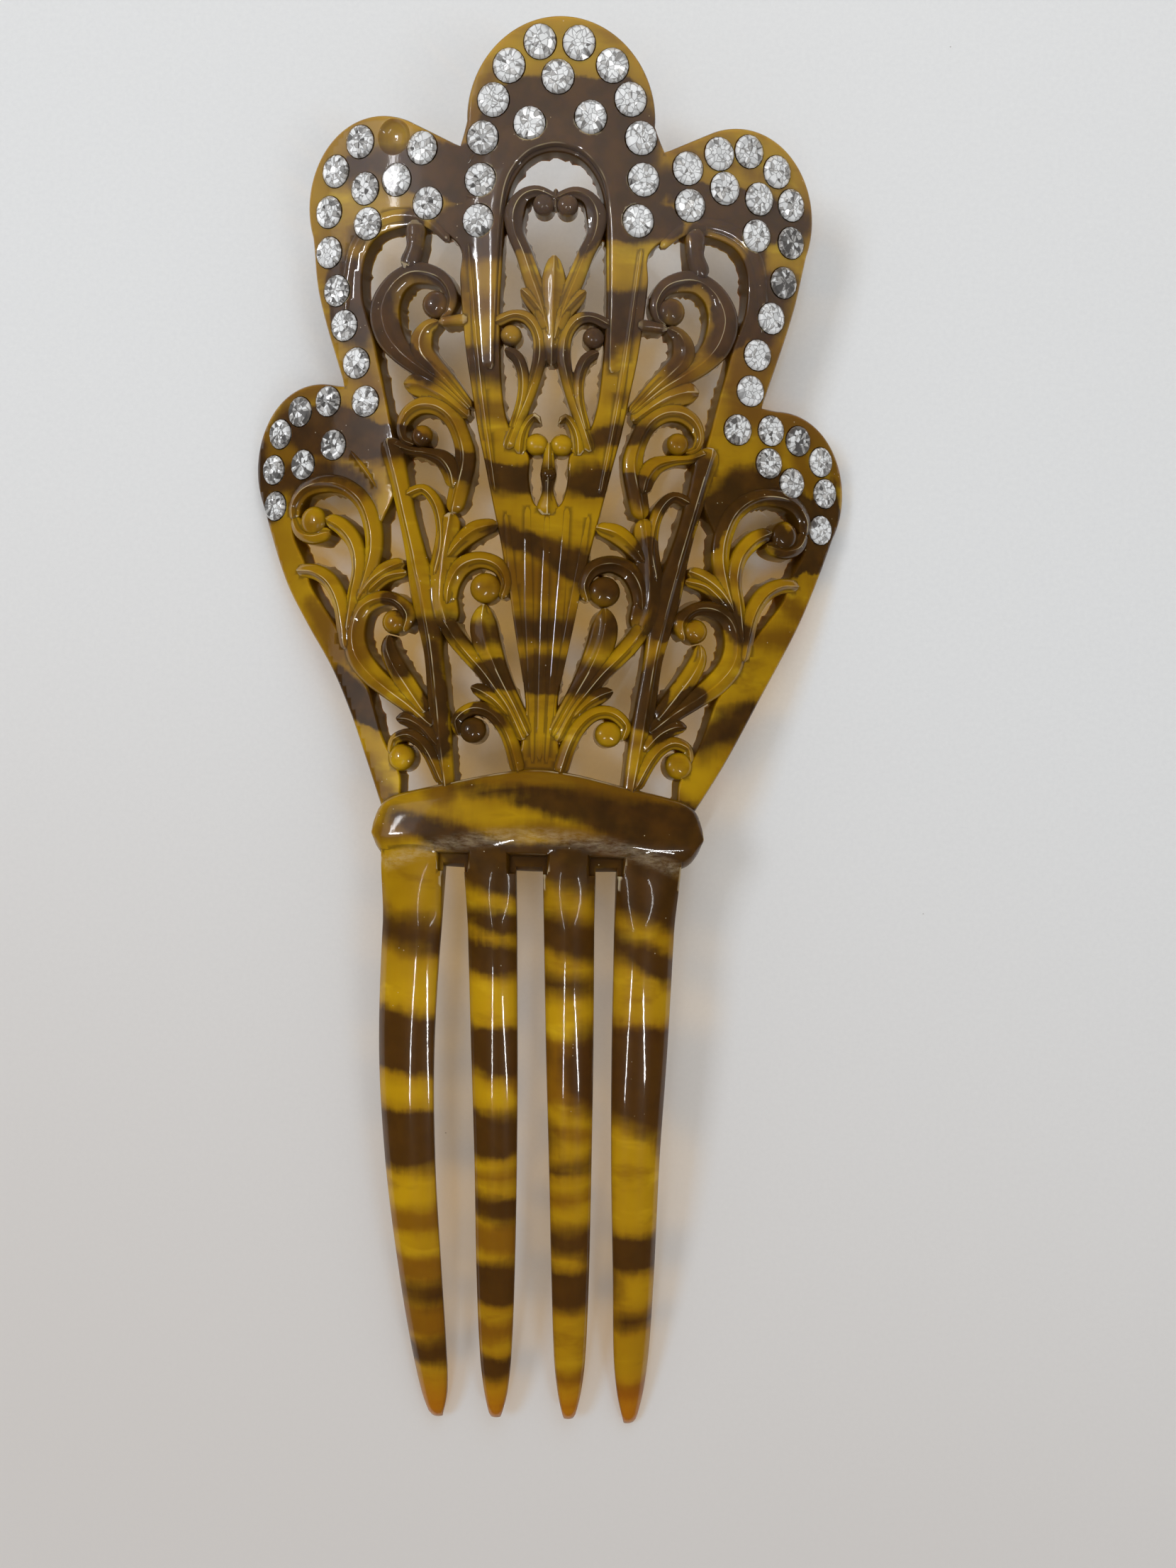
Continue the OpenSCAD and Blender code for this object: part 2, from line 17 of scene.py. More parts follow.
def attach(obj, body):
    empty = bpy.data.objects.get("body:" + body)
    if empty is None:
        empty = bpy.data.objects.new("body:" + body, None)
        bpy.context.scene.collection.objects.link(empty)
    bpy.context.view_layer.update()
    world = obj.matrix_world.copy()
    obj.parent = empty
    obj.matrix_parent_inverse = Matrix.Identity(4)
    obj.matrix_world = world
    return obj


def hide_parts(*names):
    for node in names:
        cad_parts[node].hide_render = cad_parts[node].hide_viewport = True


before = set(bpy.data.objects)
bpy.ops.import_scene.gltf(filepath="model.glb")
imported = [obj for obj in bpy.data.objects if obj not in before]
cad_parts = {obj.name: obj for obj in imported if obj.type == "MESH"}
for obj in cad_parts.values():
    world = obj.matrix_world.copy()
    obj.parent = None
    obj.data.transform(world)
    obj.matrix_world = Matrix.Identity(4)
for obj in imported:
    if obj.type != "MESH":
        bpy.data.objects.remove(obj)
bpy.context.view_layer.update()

# %% [markdown]
# ## From the flat sheet to the head
# A real comb of this kind is pressed flat, then warmed and bent over a block. Drawing flat keeps
# every scroll simple: a point is s across, t along from the middle of the bar, and h above the
# back of the sheet, in millimetres. The block is a wide cylinder across the comb, and along it
# the sheet turns steadily, so the place of each point has a plain formula.

# %% Sizes and the block
sheet, bar_height = 2.5, 4.2
tine_root, tine_tip = 3.0, 1.5
bend_radius, crown_slope, bar_slope, tip_slope = 75.0, 13.0, 3.0, 16.4
top_t, tip_t = 105.5, 87.0
stone_size, stone_clearance, socket_depth, table_rise = 4.1, 0.12, 1.4, 0.8


def slope_and_turn(t):
    """Slope of the side profile at t in radians, and how fast it turns per millimetre."""
    start = math.radians(-bar_slope)
    if t < 0:
        turn = -math.radians(tip_slope + bar_slope) / tip_t
    else:
        turn = math.radians(crown_slope + bar_slope) / top_t
    return start + turn * t, turn


def bent(s, t, h):
    """A point of the flat sheet on the bent one, measured from the middle of the bar."""
    a, turn = slope_and_turn(t)
    start = math.radians(-bar_slope)
    along = (math.sin(a) - math.sin(start)) / turn
    up = (math.cos(start) - math.cos(a)) / turn
    out = (bend_radius + h) * math.cos(s / bend_radius) - bend_radius
    return Vector(((bend_radius + h) * math.sin(s / bend_radius),
                   along - math.sin(a) * out, up + math.cos(a) * out))


home = Vector((
    -(bent(43.2, 48.2, sheet).x + bent(-43.8, 50, sheet).x) / 2,
    -(bent(0.4, top_t, sheet).y + bent(15.5, -87, tine_tip).y) / 2 - 0.1,
    -min(bent(s, t, 0).z for s, t in ((43.2, 48.2), (-43.8, 50), (15.5, -87), (-12.2, -86.2)))))


def lift(s, t, h):
    """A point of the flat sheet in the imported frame, in metres."""
    return (bent(s, t, h) + home) / 1000


def seat(s, t, h=0.0, turned=0.0):
    """Where a stone sits: the matrix that lays it on the bent sheet, its axis along the normal."""
    a, f = slope_and_turn(t)[0], s / bend_radius
    lie = Matrix(((math.cos(f), 0, math.sin(f)),
                  (math.sin(a) * math.sin(f), math.cos(a), -math.sin(a) * math.cos(f)),
                  (-math.cos(a) * math.sin(f), math.sin(a), math.cos(a) * math.cos(f))))
    return Matrix.Translation(lift(s, t, h)) @ (lie @ Matrix.Rotation(turned, 3, "Z")).to_4x4()


print("home, mm:", [round(c, 3) for c in home])


def show(thing):
    """Puts an object in the scene and returns it."""
    bpy.context.scene.collection.objects.link(thing)
    return thing


def finished(bm, name):
    """The mesh that a bmesh has grown into."""
    mesh = bpy.data.meshes.new(name)
    bm.to_mesh(mesh)
    bm.free()
    return mesh


def on_circle(s, t, r, degrees):
    """The place at an angle on a circle round s, t."""
    return s + r * math.cos(math.radians(degrees)), t + r * math.sin(math.radians(degrees))

# %% [markdown]
# ## The drawing
# The outline is five round lobes joined by short notches, and two flanks that run down to the
# bar. The numbers were read off the photograph after its bend had been worked out, and the right
# side is the left one mirrored, as the maker's mould was drawn.

# %% Outline of the crown
# Each lobe: s and t of its middle, radius, first and last angle, from the right to the left
lobes = [[32.2, 48.2, 11, -30, 95], [24.4, 83.4, 10.9, -20, 118], [0.4, 93.5, 12, -2, 182],
    [-23.5, 83.6, 10.8, 62, 200], [-32.8, 50, 11, 80, 205]]
right_flank = [[21, 3.4], [25.1, 10], [30.6, 20], [36.2, 30], [39.4, 37]]
left_flank = [[-38, 34.3], [-33.9, 28], [-29.7, 22], [-26.6, 16], [-24.1, 10], [-21.4, 3.2]]
cusps = [[28.9, 59.3], [13.7, 90.3], [-12.4, 90.2], [-28.6, 60.4]]
waists = [[33, 72], [-32.7, 72.5]]

# %% Fields that are cut away
side_field = [[-12.1, 77.2], [-14, 79.2], [-17, 80.2], [-21, 80.1], [-24, 78.9], [-25.5, 76.3],
    [-25.7, 72], [-24.9, 69], [-24.1, 66.8], [-23.3, 63.5], [-22.4, 60], [-21.5, 56], [-20.4, 51],
    [-20.6, 46], [-21.9, 42.8], [-23.5, 40], [-24.2, 42.4], [-25.8, 45.2], [-28.2, 46.9],
    [-31.6, 47.4], [-34.6, 46.6], [-36.2, 44.4], [-36.6, 40.8], [-34.4, 36.6], [-33.4, 33.6],
    [-31, 30.4], [-28.6, 27.2], [-25.6, 21.6], [-23.8, 19.4], [-22.6, 16.2], [-21.3, 12.6],
    [-19.6, 9.4], [-18.6, 7.4], [-17.6, 2], [-3, 2], [-2.9, 8.6], [-2.5, 12], [-2.1, 17],
    [-2.5, 20.5], [-3.1, 26], [-3.9, 30], [-4.8, 33], [-5.5, 36.6], [-6.2, 40], [-7, 43.5],
    [-7.8, 47], [-8.5, 50.2], [-9.4, 54], [-10.3, 59], [-11.2, 64], [-11.8, 69], [-12.2, 74]]
arch_half = [[0, 89.3], [-1.6, 89.1], [-3.4, 88.2], [-4.9, 86.5], [-5.9, 84.3], [-6.4, 81.5],
    [-6.6, 76], [-6.8, 70], [-6.7, 66], [-6.5, 62], [-6.1, 58], [-5.4, 55], [-4.2, 52.6],
    [-2.6, 50.9], [-2.5, 48], [-2.2, 46], [-1.5, 44.3], [0, 43.8]]

# %% Scrolls and leaves of the left side: rows of s, t and width
scrolls = [
    # Upper field: great scroll, the leaf under it, its strut and the leaf below
    [[-14.6, 68.6, 0.8], [-13.6, 69.3, 1.1], [-13.2, 71.2, 1.6], [-14.4, 73.4, 2.2], [-16.8, 74.4, 2.8],
        [-19, 74.3, 3], [-21.2, 72.8, 3.6], [-22.5, 70, 4.5], [-21.9, 67, 4.2], [-20.2, 64.6, 3.3],
        [-17.6, 62.5, 2.7], [-14.2, 60.1, 2.2], [-10.6, 56.8, 1.6]],
    [[-14.8, 68.2, 1.2], [-16.3, 67.5, 2.2], [-17.2, 65.9, 3.2], [-17, 64.2, 3.1],
        [-15.5, 62.4, 2.8], [-13.4, 60.3, 2.3], [-10.4, 57, 1.4]],
    [[-11, 68.4, 2], [-12.8, 68.3, 1.5], [-14.8, 68.1, 1.4]],
    [[-18.2, 81, 3.2], [-18.2, 79.2, 2.8], [-18.3, 77.6, 2.5], [-19.4, 75, 3.2]],
    [[-19.4, 60.2, 2.8], [-17.2, 60, 3.4], [-14.5, 58.8, 3], [-10.6, 55.8, 1.8]],
    # Middle: scroll with its stem, the dark leaf, the hooked leaf, broad stem and fan leaf
    [[-18, 52.2, 0.9], [-19.3, 52.8, 1.2], [-19.8, 54.4, 1.6], [-18.9, 56.3, 2.2], [-17.1, 57.3, 2.4],
        [-14.8, 57.1, 2.5], [-12.8, 55.6, 2.6], [-11.5, 52.9, 2.6], [-11, 50.2, 2.9], [-11.6, 46.8, 3],
        [-12.4, 43, 2.6]],
    [[-21, 52.4, 1.8], [-18.6, 51.4, 1.3], [-16.2, 51, 1.6], [-14, 50.2, 2.6], [-12.7, 48.4, 2.8],
        [-12.3, 46.4, 2.6]],
    [[-19, 45.4, 1.8], [-16.6, 46.2, 1.6], [-14.9, 44.6, 1.8], [-14, 41.8, 1.8], [-13.8, 38.6, 2.4],
        [-14.6, 34.6, 2.6]],
    [[-12.6, 43, 3], [-13.2, 39, 3.4], [-13.6, 35, 4], [-13.6, 31, 4.4], [-12.6, 27.6, 4]],
    [[-13, 37, 1.6], [-11.2, 39.2, 2.4], [-9.2, 40.8, 2.8], [-6.4, 41.6, 1.8]],
    # Long ray from the shoulder down to the bar
    [[-21.6, 53, 4], [-20.2, 48, 3], [-18.9, 43, 2.7], [-17.6, 38, 3], [-16.4, 33, 3.8],
        [-15.4, 28.4, 3.4], [-14.6, 24, 2.8], [-13.8, 18, 3], [-13.1, 12.5, 3], [-12, 5, 2.4]],
    # Beside the centre: volute, stalk, its second leaf and the small leaf
    [[-5.6, 31.6, 1.4], [-5.1, 33.8, 1.6], [-6.2, 36, 2.2], [-8.6, 36.8, 2.4], [-11, 35.9, 2.7],
        [-12.4, 33.6, 2.6], [-12.8, 30.8, 2.4]],
    [[-7.9, 30.8, 1.6], [-8, 28.4, 3.6], [-7.4, 25.4, 3.8], [-6.2, 22.4, 3.2], [-4.9, 19.8, 2.6],
        [-3.4, 17, 2.2], [-1.6, 13.2, 2.2]],
    [[-13.4, 29, 2.6], [-11.6, 26.2, 2.6], [-9.6, 23.8, 2.4], [-7.8, 21.8, 2.2], [-6, 19.4, 2.2],
        [-4.2, 16.8, 2.2], [-2.2, 12.6, 2.2]],
    [[-9.3, 19.6, 1.4], [-7.8, 19, 2.2], [-6, 17.8, 2], [-4.2, 15.8, 1.6]],
    # Foot: scroll beside the centre, scroll beside the flank and its leaf
    [[-10.7, 13, 1.2], [-11.1, 15, 1.7], [-9.3, 16.6, 1.9], [-7.2, 16.5, 2], [-5.3, 15, 2.2],
        [-3.9, 12.4, 2.2], [-2.6, 8, 2.2]],
    [[-20.1, 10.2, 1.2], [-19.6, 12.2, 1.6], [-17.7, 12.9, 1.9], [-15.9, 12, 2.1],
        [-14.5, 10.2, 2.2], [-12.6, 6.4, 2.2]],
    [[-19.4, 15.1, 1.6], [-17.6, 15, 2.4], [-15.6, 13.9, 2.2], [-13.6, 11.6, 2]],
    # Flank, lower: scroll with a long stem and the leaf inside it
    [[-18.7, 27, 1.2], [-18.2, 29.3, 2.2], [-20, 31.2, 2], [-22.6, 31.4, 2.4], [-25, 30, 2.8],
        [-26.1, 27, 3.4], [-25.6, 24, 3.6], [-23.6, 21.4, 3.4], [-20.6, 19, 2.8],
        [-17.6, 16.9, 2.6], [-14.4, 14.2, 2.4]],
    [[-20.9, 26.5, 1.3], [-20.9, 24.6, 2.4], [-19.8, 22.2, 2.8], [-18, 19.6, 2.8], [-15.4, 16, 2.4]],
    # Flank, upper: great scroll, its lip, the inner leaf, the outer leaf and two leaf tips
    [[-36.3, 42.6, 2], [-36.3, 44.6, 2.2], [-34.6, 46.6, 2.4], [-31.6, 47.4, 2.6], [-28.2, 46.9, 2.6],
        [-25.4, 44.9, 2.8], [-23.9, 41.8, 3], [-23.5, 38.4, 2.8], [-24.2, 35, 2.4], [-25.4, 31.4, 2.2]],
    [[-36.4, 43, 2], [-35.3, 41, 2.2], [-33, 40.2, 2.2], [-30.2, 40.7, 2]],
    [[-30.9, 42.6, 2], [-28.4, 41.3, 2.6], [-26.4, 39, 2.6], [-25.7, 35.8, 2.4],
        [-26.3, 32, 2.4], [-27, 27, 2.8]],
    [[-35.6, 35.6, 2], [-32.6, 35.3, 2.3], [-30.2, 33.9, 2.6], [-28.6, 31.4, 2.6],
        [-27.8, 28.4, 2.8], [-27.2, 24.6, 2.8]],
    [[-25.6, 31.2, 2], [-23.6, 33.8, 2.6], [-21.4, 35.4, 2.6], [-19, 36.4, 2]],
    [[-24, 32.4, 1.8], [-21.4, 34.4, 1.8], [-18.6, 35, 1.4]],
    # Under the arch: heart scroll, palmette leaf, lyre scroll, its leaf and the small curl
    [[0.5, 83.4, 1.2], [-2.2, 84.5, 1.5], [-4.1, 83.9, 1.9], [-5.2, 82, 2.7], [-5.1, 79.6, 2.2],
        [-3.9, 76.8, 2.2], [-2.8, 73.8, 2.4], [-1.6, 70.6, 2.4], [-0.6, 67, 2]],
    [[-4.1, 72.3, 1.4], [-2.9, 71.2, 2.2], [-1.2, 69, 2.2], [-0.2, 65.6, 1.6]],
    [[-7.4, 68, 1.6], [-5, 69, 1.5], [-3.2, 68.6, 1.7], [-1.9, 66.8, 1.7], [-1.5, 64.2, 2],
        [-2, 61.4, 1.8], [-2.9, 58.4, 1.7], [-4.2, 55, 1.8], [-5.4, 51.6, 2]],
    [[-6, 64.6, 1.3], [-4.4, 63.5, 1.7], [-3.6, 61, 1.6], [-3.7, 58, 1.6], [-4.7, 54, 1.8]],
    [[-1.2, 55.1, 1], [-2, 55.9, 1.2], [-3, 54.8, 1.4], [-3.6, 53.2, 1.8], [-3.8, 51, 2]]]

# %% Middle scrolls, raised mouldings and eyes
middle_scrolls = [[[0, 84.8, 1], [0, 82.6, 1]],
    [[0, 76.6, 1.6], [0, 73.6, 3.2], [0, 70, 3], [0, 66, 3], [0, 62.6, 1.2]],
    [[0, 52.6, 1.2], [0, 50.4, 1.6], [0, 48.4, 2.2], [0, 46.2, 1.6], [0, 43, 4]]]
mouldings = [
    [[-28.2, 69, 0.9], [-27.9, 74, 1.8], [-26.8, 78.2, 2], [-24.2, 80.8, 2], [-20.4, 81.8, 1.8],
        [-16.6, 81, 1.6], [-13.6, 78.4, 1]],
    [[-11, 78, 0.8], [-9, 60, 1.2], [-6.8, 46, 0.8]]]
arch_moulding = [[-7.8, 62, 0.8], [-7.9, 74, 1.6], [-7.7, 82, 2.2], [-6.7, 86.6, 2.2],
    [-4.2, 89.7, 2.2], [-1.2, 90.9, 2.2]]
middle_moulding = [[0, 43, 0.8], [0, 32, 1.2], [0, 20, 1.2], [0, 10, 0.8]]
# Short sharp creases of the left side that catch the light
creases = [[[-27.2, 51.6, 0.3], [-25.1, 49.1, 0.9], [-23.2, 46.5, 0.3]],
    [[-11.4, 83.9, 0.25], [-10.2, 83.5, 0.5], [-9, 82.8, 0.25]],
    [[-11.2, 87.8, 0.25], [-10.8, 88.6, 0.5], [-9.9, 89.2, 0.25]]]
flutes = [[[-2.6, 44, 0.9], [-2.1, 32, 1.3], [-1.4, 20, 1], [-0.9, 9.6, 0.6]],
    [[-5.4, 43, 0.7], [-3.9, 32, 1.2], [-2, 20, 0.8]]]
eyes = [[-15.4, 70.4, 1.8], [-16.9, 53.3, 1.5], [-7.8, 33, 2.1], [-8.9, 13.7, 1.8],
    [-18.6, 9.8, 1.9], [-20.3, 28.3, 1.7], [-33.2, 42.3, 2.1], [-1.5, 82.9, 1.4],
    [-5.3, 66.4, 1.4], [-1.6, 52.3, 1.5], [-18.3, 78.8, 1.2]]
middle_eye = [0, 48.4, 1.1]

# %% Tines, left to right, and the heading bar
tines = [
    [[-16.3, -1, 8.6], [-17.1, -28, 8], [-16.4, -45, 7.3], [-14.8, -62, 6.3],
        [-13.4, -75, 5.1], [-12.6, -82, 3.8], [-12.2, -86.2, 1.6]],
    [[-6.1, -1, 6.8], [-4.9, -28, 6.3], [-4.3, -45, 5.8], [-4, -62, 5.3],
        [-3.8, -75, 4.4], [-3.7, -81, 3.2], [-3.7, -85.2, 1.4]],
    [[4.2, -1, 6.9], [5.2, -28, 6.4], [5.8, -45, 5.8], [6.3, -62, 5.2],
        [6.6, -75, 4.4], [6.7, -81, 3.2], [6.7, -85.3, 1.4]],
    [[14.9, -1, 8.6], [14.8, -28, 7.8], [14.8, -45, 6.8], [15.2, -62, 5.9],
        [15.4, -75, 5.1], [15.5, -82, 3.7], [15.5, -87, 1.5]]]
bar_rows = [[-21.9, -1.6, 1.4], [-21.4, -3, 2.9], [-20.2, -4.2, 4.2], [-18.2, -4.5, 5],
    [-12, -4.8, 6.5], [-5, -5, 8.1], [0, -5.1, 8.7], [5, -5, 8.1], [12, -4.8, 6.5], [18.2, -4.5, 5.2],
    [20.2, -4, 4.4], [21.4, -2.7, 3.1], [21.9, -1.1, 1.5]]

# %% Stones of each lobe, and the socket that has lost its stone
stones = {
    "stones_top": [[-2.4, 102.2], [2.4, 102.2], [-6.2, 99.4], [6.6, 99.8], [-0.1, 98.2],
        [-8.1, 95.4], [9, 96], [-3.5, 92.6], [4.1, 93.6], [-9.4, 90.9], [10.5, 91.5], [-9.6, 85.8],
        [11, 86.5], [-9.8, 80.8], [10.5, 81.4]],
    "stones_upper_left": [[-26, 91.2], [-17.3, 89.9], [-29.7, 87.9], [-20.8, 86.2], [-25.3, 85.4],
        [-16.5, 83.1], [-30.8, 82.9], [-24.9, 81], [-30.8, 77.8], [-29.6, 72.8], [-28.4, 68.2],
        [-26.5, 63.2], [-25.1, 58.1]],
    "stones_upper_right": [[16.7, 88.4], [20.8, 90.6], [24.9, 91.4], [29.1, 89.5], [21.8, 86.5],
        [17.2, 83.9], [26.7, 85.8], [31.5, 85.7], [26.6, 81.2], [31.8, 81], [31, 75.8], [29.4, 71],
        [27.6, 66], [26.8, 61.2]],
    "stones_lower_left": [[-30.9, 58.4], [-35.6, 57.3], [-39.1, 54.5], [-40.3, 49.7], [-35, 50.1],
        [-30, 52.5], [-39.9, 44.7]],
    "stones_lower_right": [[25.2, 55.9], [30.2, 56.3], [34.6, 55.4], [38.6, 53], [30.1, 51.9],
        [33.9, 49.6], [39.6, 48.8], [39.1, 43.7]]}
empty_socket = [-21.2, 91.5]
# Three stones whose foil has gone grey
grey_stones = [[34.6, 55.4], [31, 75.8], [31.8, 81]]
print("scrolls:", len(scrolls), "stones:", sum(len(rows) for rows in stones.values()))

# %% [markdown]
# ## A smooth line through a few rows
# A modeller marks a scroll by a few places and lets the eye join them. Here a cubic curve joins
# them: at every row it leaves in the direction of its two neighbours, and the width rides along
# as a third number. Fine, even steps along it make the arris catch the light as one thin line.

# %% Smooth lines
def smooth_line(rows, step=0.5, closed=False):
    """Rows of numbers, the first two s and t, as a smooth line with a row about every step mm."""
    points = [Vector(row) for row in rows]
    count = len(points)
    ends = [points[(i + 1) % count] for i in range(count if closed else count - 1)]
    gaps = [max((end.to_2d() - points[i].to_2d()).length, 1e-6) for i, end in enumerate(ends)]
    leave = []
    for i in range(count):
        if closed:
            before, after = gaps[i - 1], gaps[i]
            leave.append((points[(i + 1) % count] - points[i - 1]) / (before + after))
        else:
            low, high = max(i - 1, 0), min(i + 1, count - 1)
            leave.append((points[high] - points[low]) / sum(gaps[low:high]))
    line = []
    for i, end in enumerate(ends):
        pieces = max(1, round(gaps[i] / step))
        for k in range(pieces):
            u = k / pieces
            line.append(points[i] * (2 * u ** 3 - 3 * u ** 2 + 1) + end * (3 * u ** 2 - 2 * u ** 3)
                        + leave[i] * gaps[i] * (u ** 3 - 2 * u ** 2 + u)
                        + leave[(i + 1) % count] * gaps[i] * (u ** 3 - u ** 2))
    return line if closed else line + [points[-1]]


def mirrored(rows):
    return [[-row[0], *row[1:]] for row in rows]


def side_of(line, i):
    """Unit vector across a line at its row i, to the left of the way it runs."""
    a, b = line[max(i - 1, 0)], line[min(i + 1, len(line) - 1)]
    way = (b.to_2d() - a.to_2d()).normalized()
    return Vector((-way.y, way.x))


# %% [markdown]
# ## Building a solid ring by ring
# Every piece of the comb is a closed solid: a first outline, then the same outline pulled on from
# place to place. extrude_face_region does that. It lifts the end face off, leaves walls behind,
# and the new face is moved to its next place. The last face closes the far end.

# %% Ring by ring
def pulled_solid(name, rings):
    """A closed mesh that follows rings of points of equal number."""
    bm = bmesh.new()
    end = bm.faces.new([bm.verts.new(p) for p in rings[0]])
    for step, ring in enumerate(rings[1:]):
        start, old = end, list(end.verts)
        grown = bmesh.ops.extrude_face_region(bm, geom=[end])["geom"]
        end = next(g for g in grown if isinstance(g, bmesh.types.BMFace))
        new = [v for v in grown if isinstance(v, bmesh.types.BMVert)]
        place = {tuple(v.co): ring[i] for i, v in enumerate(old)}
        for v in new:
            v.co = place[tuple(v.co)]
        if step:
            bmesh.ops.delete(bm, geom=[start], context="FACES_ONLY")
    bmesh.ops.recalc_face_normals(bm, faces=bm.faces)
    return bpy.data.objects.new(name, finished(bm, name))


# %% [markdown]
# ## Scrolls and leaves
# Cut across, a scroll of this comb is a broad round back that climbs from its outer side to a
# sharp line, the arris, and falls into a hollow on the inner side of its curl. The arris is
# drawn as two points a fifth of a millimetre apart, so that it carries a thin glint. The back of
# the sheet was sawn by hand, so each wall leans out there by a small, uneven amount.

# %% Section of a scroll
# Share of the half width, share of the relief: from the outer side to the inner one
scroll_back = [(-1, -0.7), (-0.97, -0.28), (-0.91, 0.02), (-0.8, 0.25), (-0.64, 0.46),
    (-0.44, 0.65), (-0.26, 0.79),
    (-0.12, 0.9), (-0.02, 1), (0.03, 1), (0.11, 0.84), (0.24, 0.56), (0.42, 0.3), (0.66, 0.12),
    (0.85, -0.02), (0.95, -0.28), (1, -0.7)]
# The arch is bordered by a roll that climbs slowly out of the plate
arch_roll = [(-3.2, -0.1), (-3, 0), (-2.5, 0.09), (-1.9, 0.25), (-1.3, 0.46), (-0.7, 0.7), (-0.2, 0.88),
    (0.2, 0.98), (0.5, 1), (0.74, 0.92), (0.9, 0.66), (0.98, 0.3), (1, -0.1)]
# The flutes of the middle fan are parted by soft low ribs
soft_rib = [(-1, -0.1), (-0.8, 0.08), (-0.45, 0.5), (-0.15, 0.9), (0.15, 0.9), (0.45, 0.5),
    (0.8, 0.08), (1, -0.1)]
# A strut, and the border of a lobe, have a plain round back
round_back = [(-1, -0.7), (-0.97, -0.25), (-0.86, 0.2), (-0.66, 0.6), (-0.4, 0.88), (-0.14, 1),
    (0.14, 1), (0.4, 0.88),
    (0.66, 0.6), (0.86, 0.2), (0.97, -0.25), (1, -0.7)]
saw = random.Random(11)


def teeth(count):
    """How far the saw has left the wall standing out, in mm, for each row of a line."""
    marks, left = [], 0.0
    for _ in range(count):
        left = saw.uniform(0.0, 0.5) ** 1.3 if saw.random() < 0.5 else left * 0.5
        marks.append(left)
    return marks


def curl(line):
    """1 where a line turns to its left, -1 where it turns to its right."""
    total = 0.0
    for a, b, c in zip(line, line[1:], line[2:]):
        p, q = b.to_2d() - a.to_2d(), c.to_2d() - b.to_2d()
        total += p.x * q.y - p.y * q.x
    return 1 if total >= 0 else -1


# %% Scrolls
def scroll(name, rows, pierced=True, height=0.72, plump=True, back=scroll_back):
    """A raised scroll. A pierced one has walls down to the back of the sheet."""
    line = smooth_line(rows)
    inner = curl(line)
    run = [0.0]
    for a, b in zip(line, line[1:]):
        run.append(run[-1] + (b.to_2d() - a.to_2d()).length)
    out, into = teeth(len(line)), teeth(len(line))
    rings = []
    for i, row in enumerate(line):
        half = row[2] / 2
        tip = min(run[i], run[-1] - run[i])
        if plump and tip < half:
            half *= math.sqrt(1 - (1 - tip / half) ** 2 * 0.86)
        rise = height * min(1, 2 * half / 2.4) ** 0.7
        side = side_of(line, i) * inner
        ring = []
        if pierced:
            walls = ([(-half - out[i], 0), (-half - 0.3 * out[i], 1.1)],
                [(half + 0.3 * into[i], 1.1), (half + into[i], 0)])
        else:
            walls = [(back[0][0] * half, sheet - 0.8)], [(back[-1][0] * half, sheet - 0.8)]
        top = [(q * half, sheet + b * (rise if b > 0 else 1)) for q, b in back]
        for across, h in walls[0] + top + walls[1]:
            ring.append((row[0] + side.x * across, row[1] + side.y * across, h))
        rings.append(ring)
    return pulled_solid(name, rings)


first = scroll("first_scroll", scrolls[0])
print("a scroll has", len(first.data.polygons), "faces")

# %% [markdown]
# ## The plate with its windows
# The lobes, rays and borders are one plate. It starts as a slab with a fine net of square faces,
# so that it can bend smoothly later. A solid with the outline is pulled up with a rounded front
# edge, and the slab keeps only what lies in it. The windows are then cut out in the same way,
# with the ragged back edge that the saw left.

# %% Slab and cutters
def slab(name, left, right, low, high, net=0.8):
    """A slab of the sheet's thickness with a net of square faces on both sides."""
    bm = bmesh.new()
    bmesh.ops.create_grid(bm, x_segments=round((right - left) / net), y_segments=round((high - low) / net),
        size=0.5, matrix=Matrix.Translation(((left + right) / 2, (low + high) / 2, 0))
        @ Matrix.Diagonal((right - left, high - low, 1, 1)))
    grown = bmesh.ops.extrude_face_region(bm, geom=bm.faces[:])["geom"]
    face = [g for g in grown if isinstance(g, bmesh.types.BMVert)]
    bmesh.ops.translate(bm, vec=(0, 0, sheet), verts=face)
    bmesh.ops.recalc_face_normals(bm, faces=bm.faces)
    return bpy.data.objects.new(name, finished(bm, name))


def outline_solid(name, line, levels, ragged=0.0):
    """A solid over a closed line; at each level (h, grow) the line stands out by grow mm."""
    count = len(line)
    after = line[1:] + line[:1]
    area = sum(a.x * b.y - b.x * a.y for a, b in zip(line, after))
    marks = teeth(count)
    rings = []
    for h, grow in levels:
        ring = []
        for i, p in enumerate(line):
            way = (after[i].to_2d() - line[i - 1].to_2d()).normalized()
            out = Vector((way.y, -way.x)) * (1 if area > 0 else -1)
            lean = max(0.0, (sheet - h) * out.y * math.sin(slope_and_turn(p.y)[0]))
            reach = grow - (ragged * marks[i] * max(0, 1 - h / 2.0) if ragged else lean)
            ring.append((p.x + out.x * reach, p.y + out.y * reach, h))
        rings.append(ring)
    return pulled_solid(name, rings)


def cut(body, *tools, how="DIFFERENCE"):
    """Boolean of body with each tool in turn, applied."""
    for tool in tools:
        show(tool)
        step = body.modifiers.new(tool.name, "BOOLEAN")
        step.operation, step.solver, step.object = how, "MANIFOLD", tool
    graph = bpy.context.evaluated_depsgraph_get()
    mesh = bpy.data.meshes.new_from_object(body.evaluated_get(graph))
    body.modifiers.clear()
    body.data = mesh
    for tool in tools:
        bpy.data.objects.remove(tool)
    return body


# %% Outline
def arc(lobe, step=2.5):
    s, t, r, first, last = lobe
    count = round((last - first) / step)
    return [list(on_circle(s, t, r, first + (last - first) * k / count)) for k in range(count + 1)]


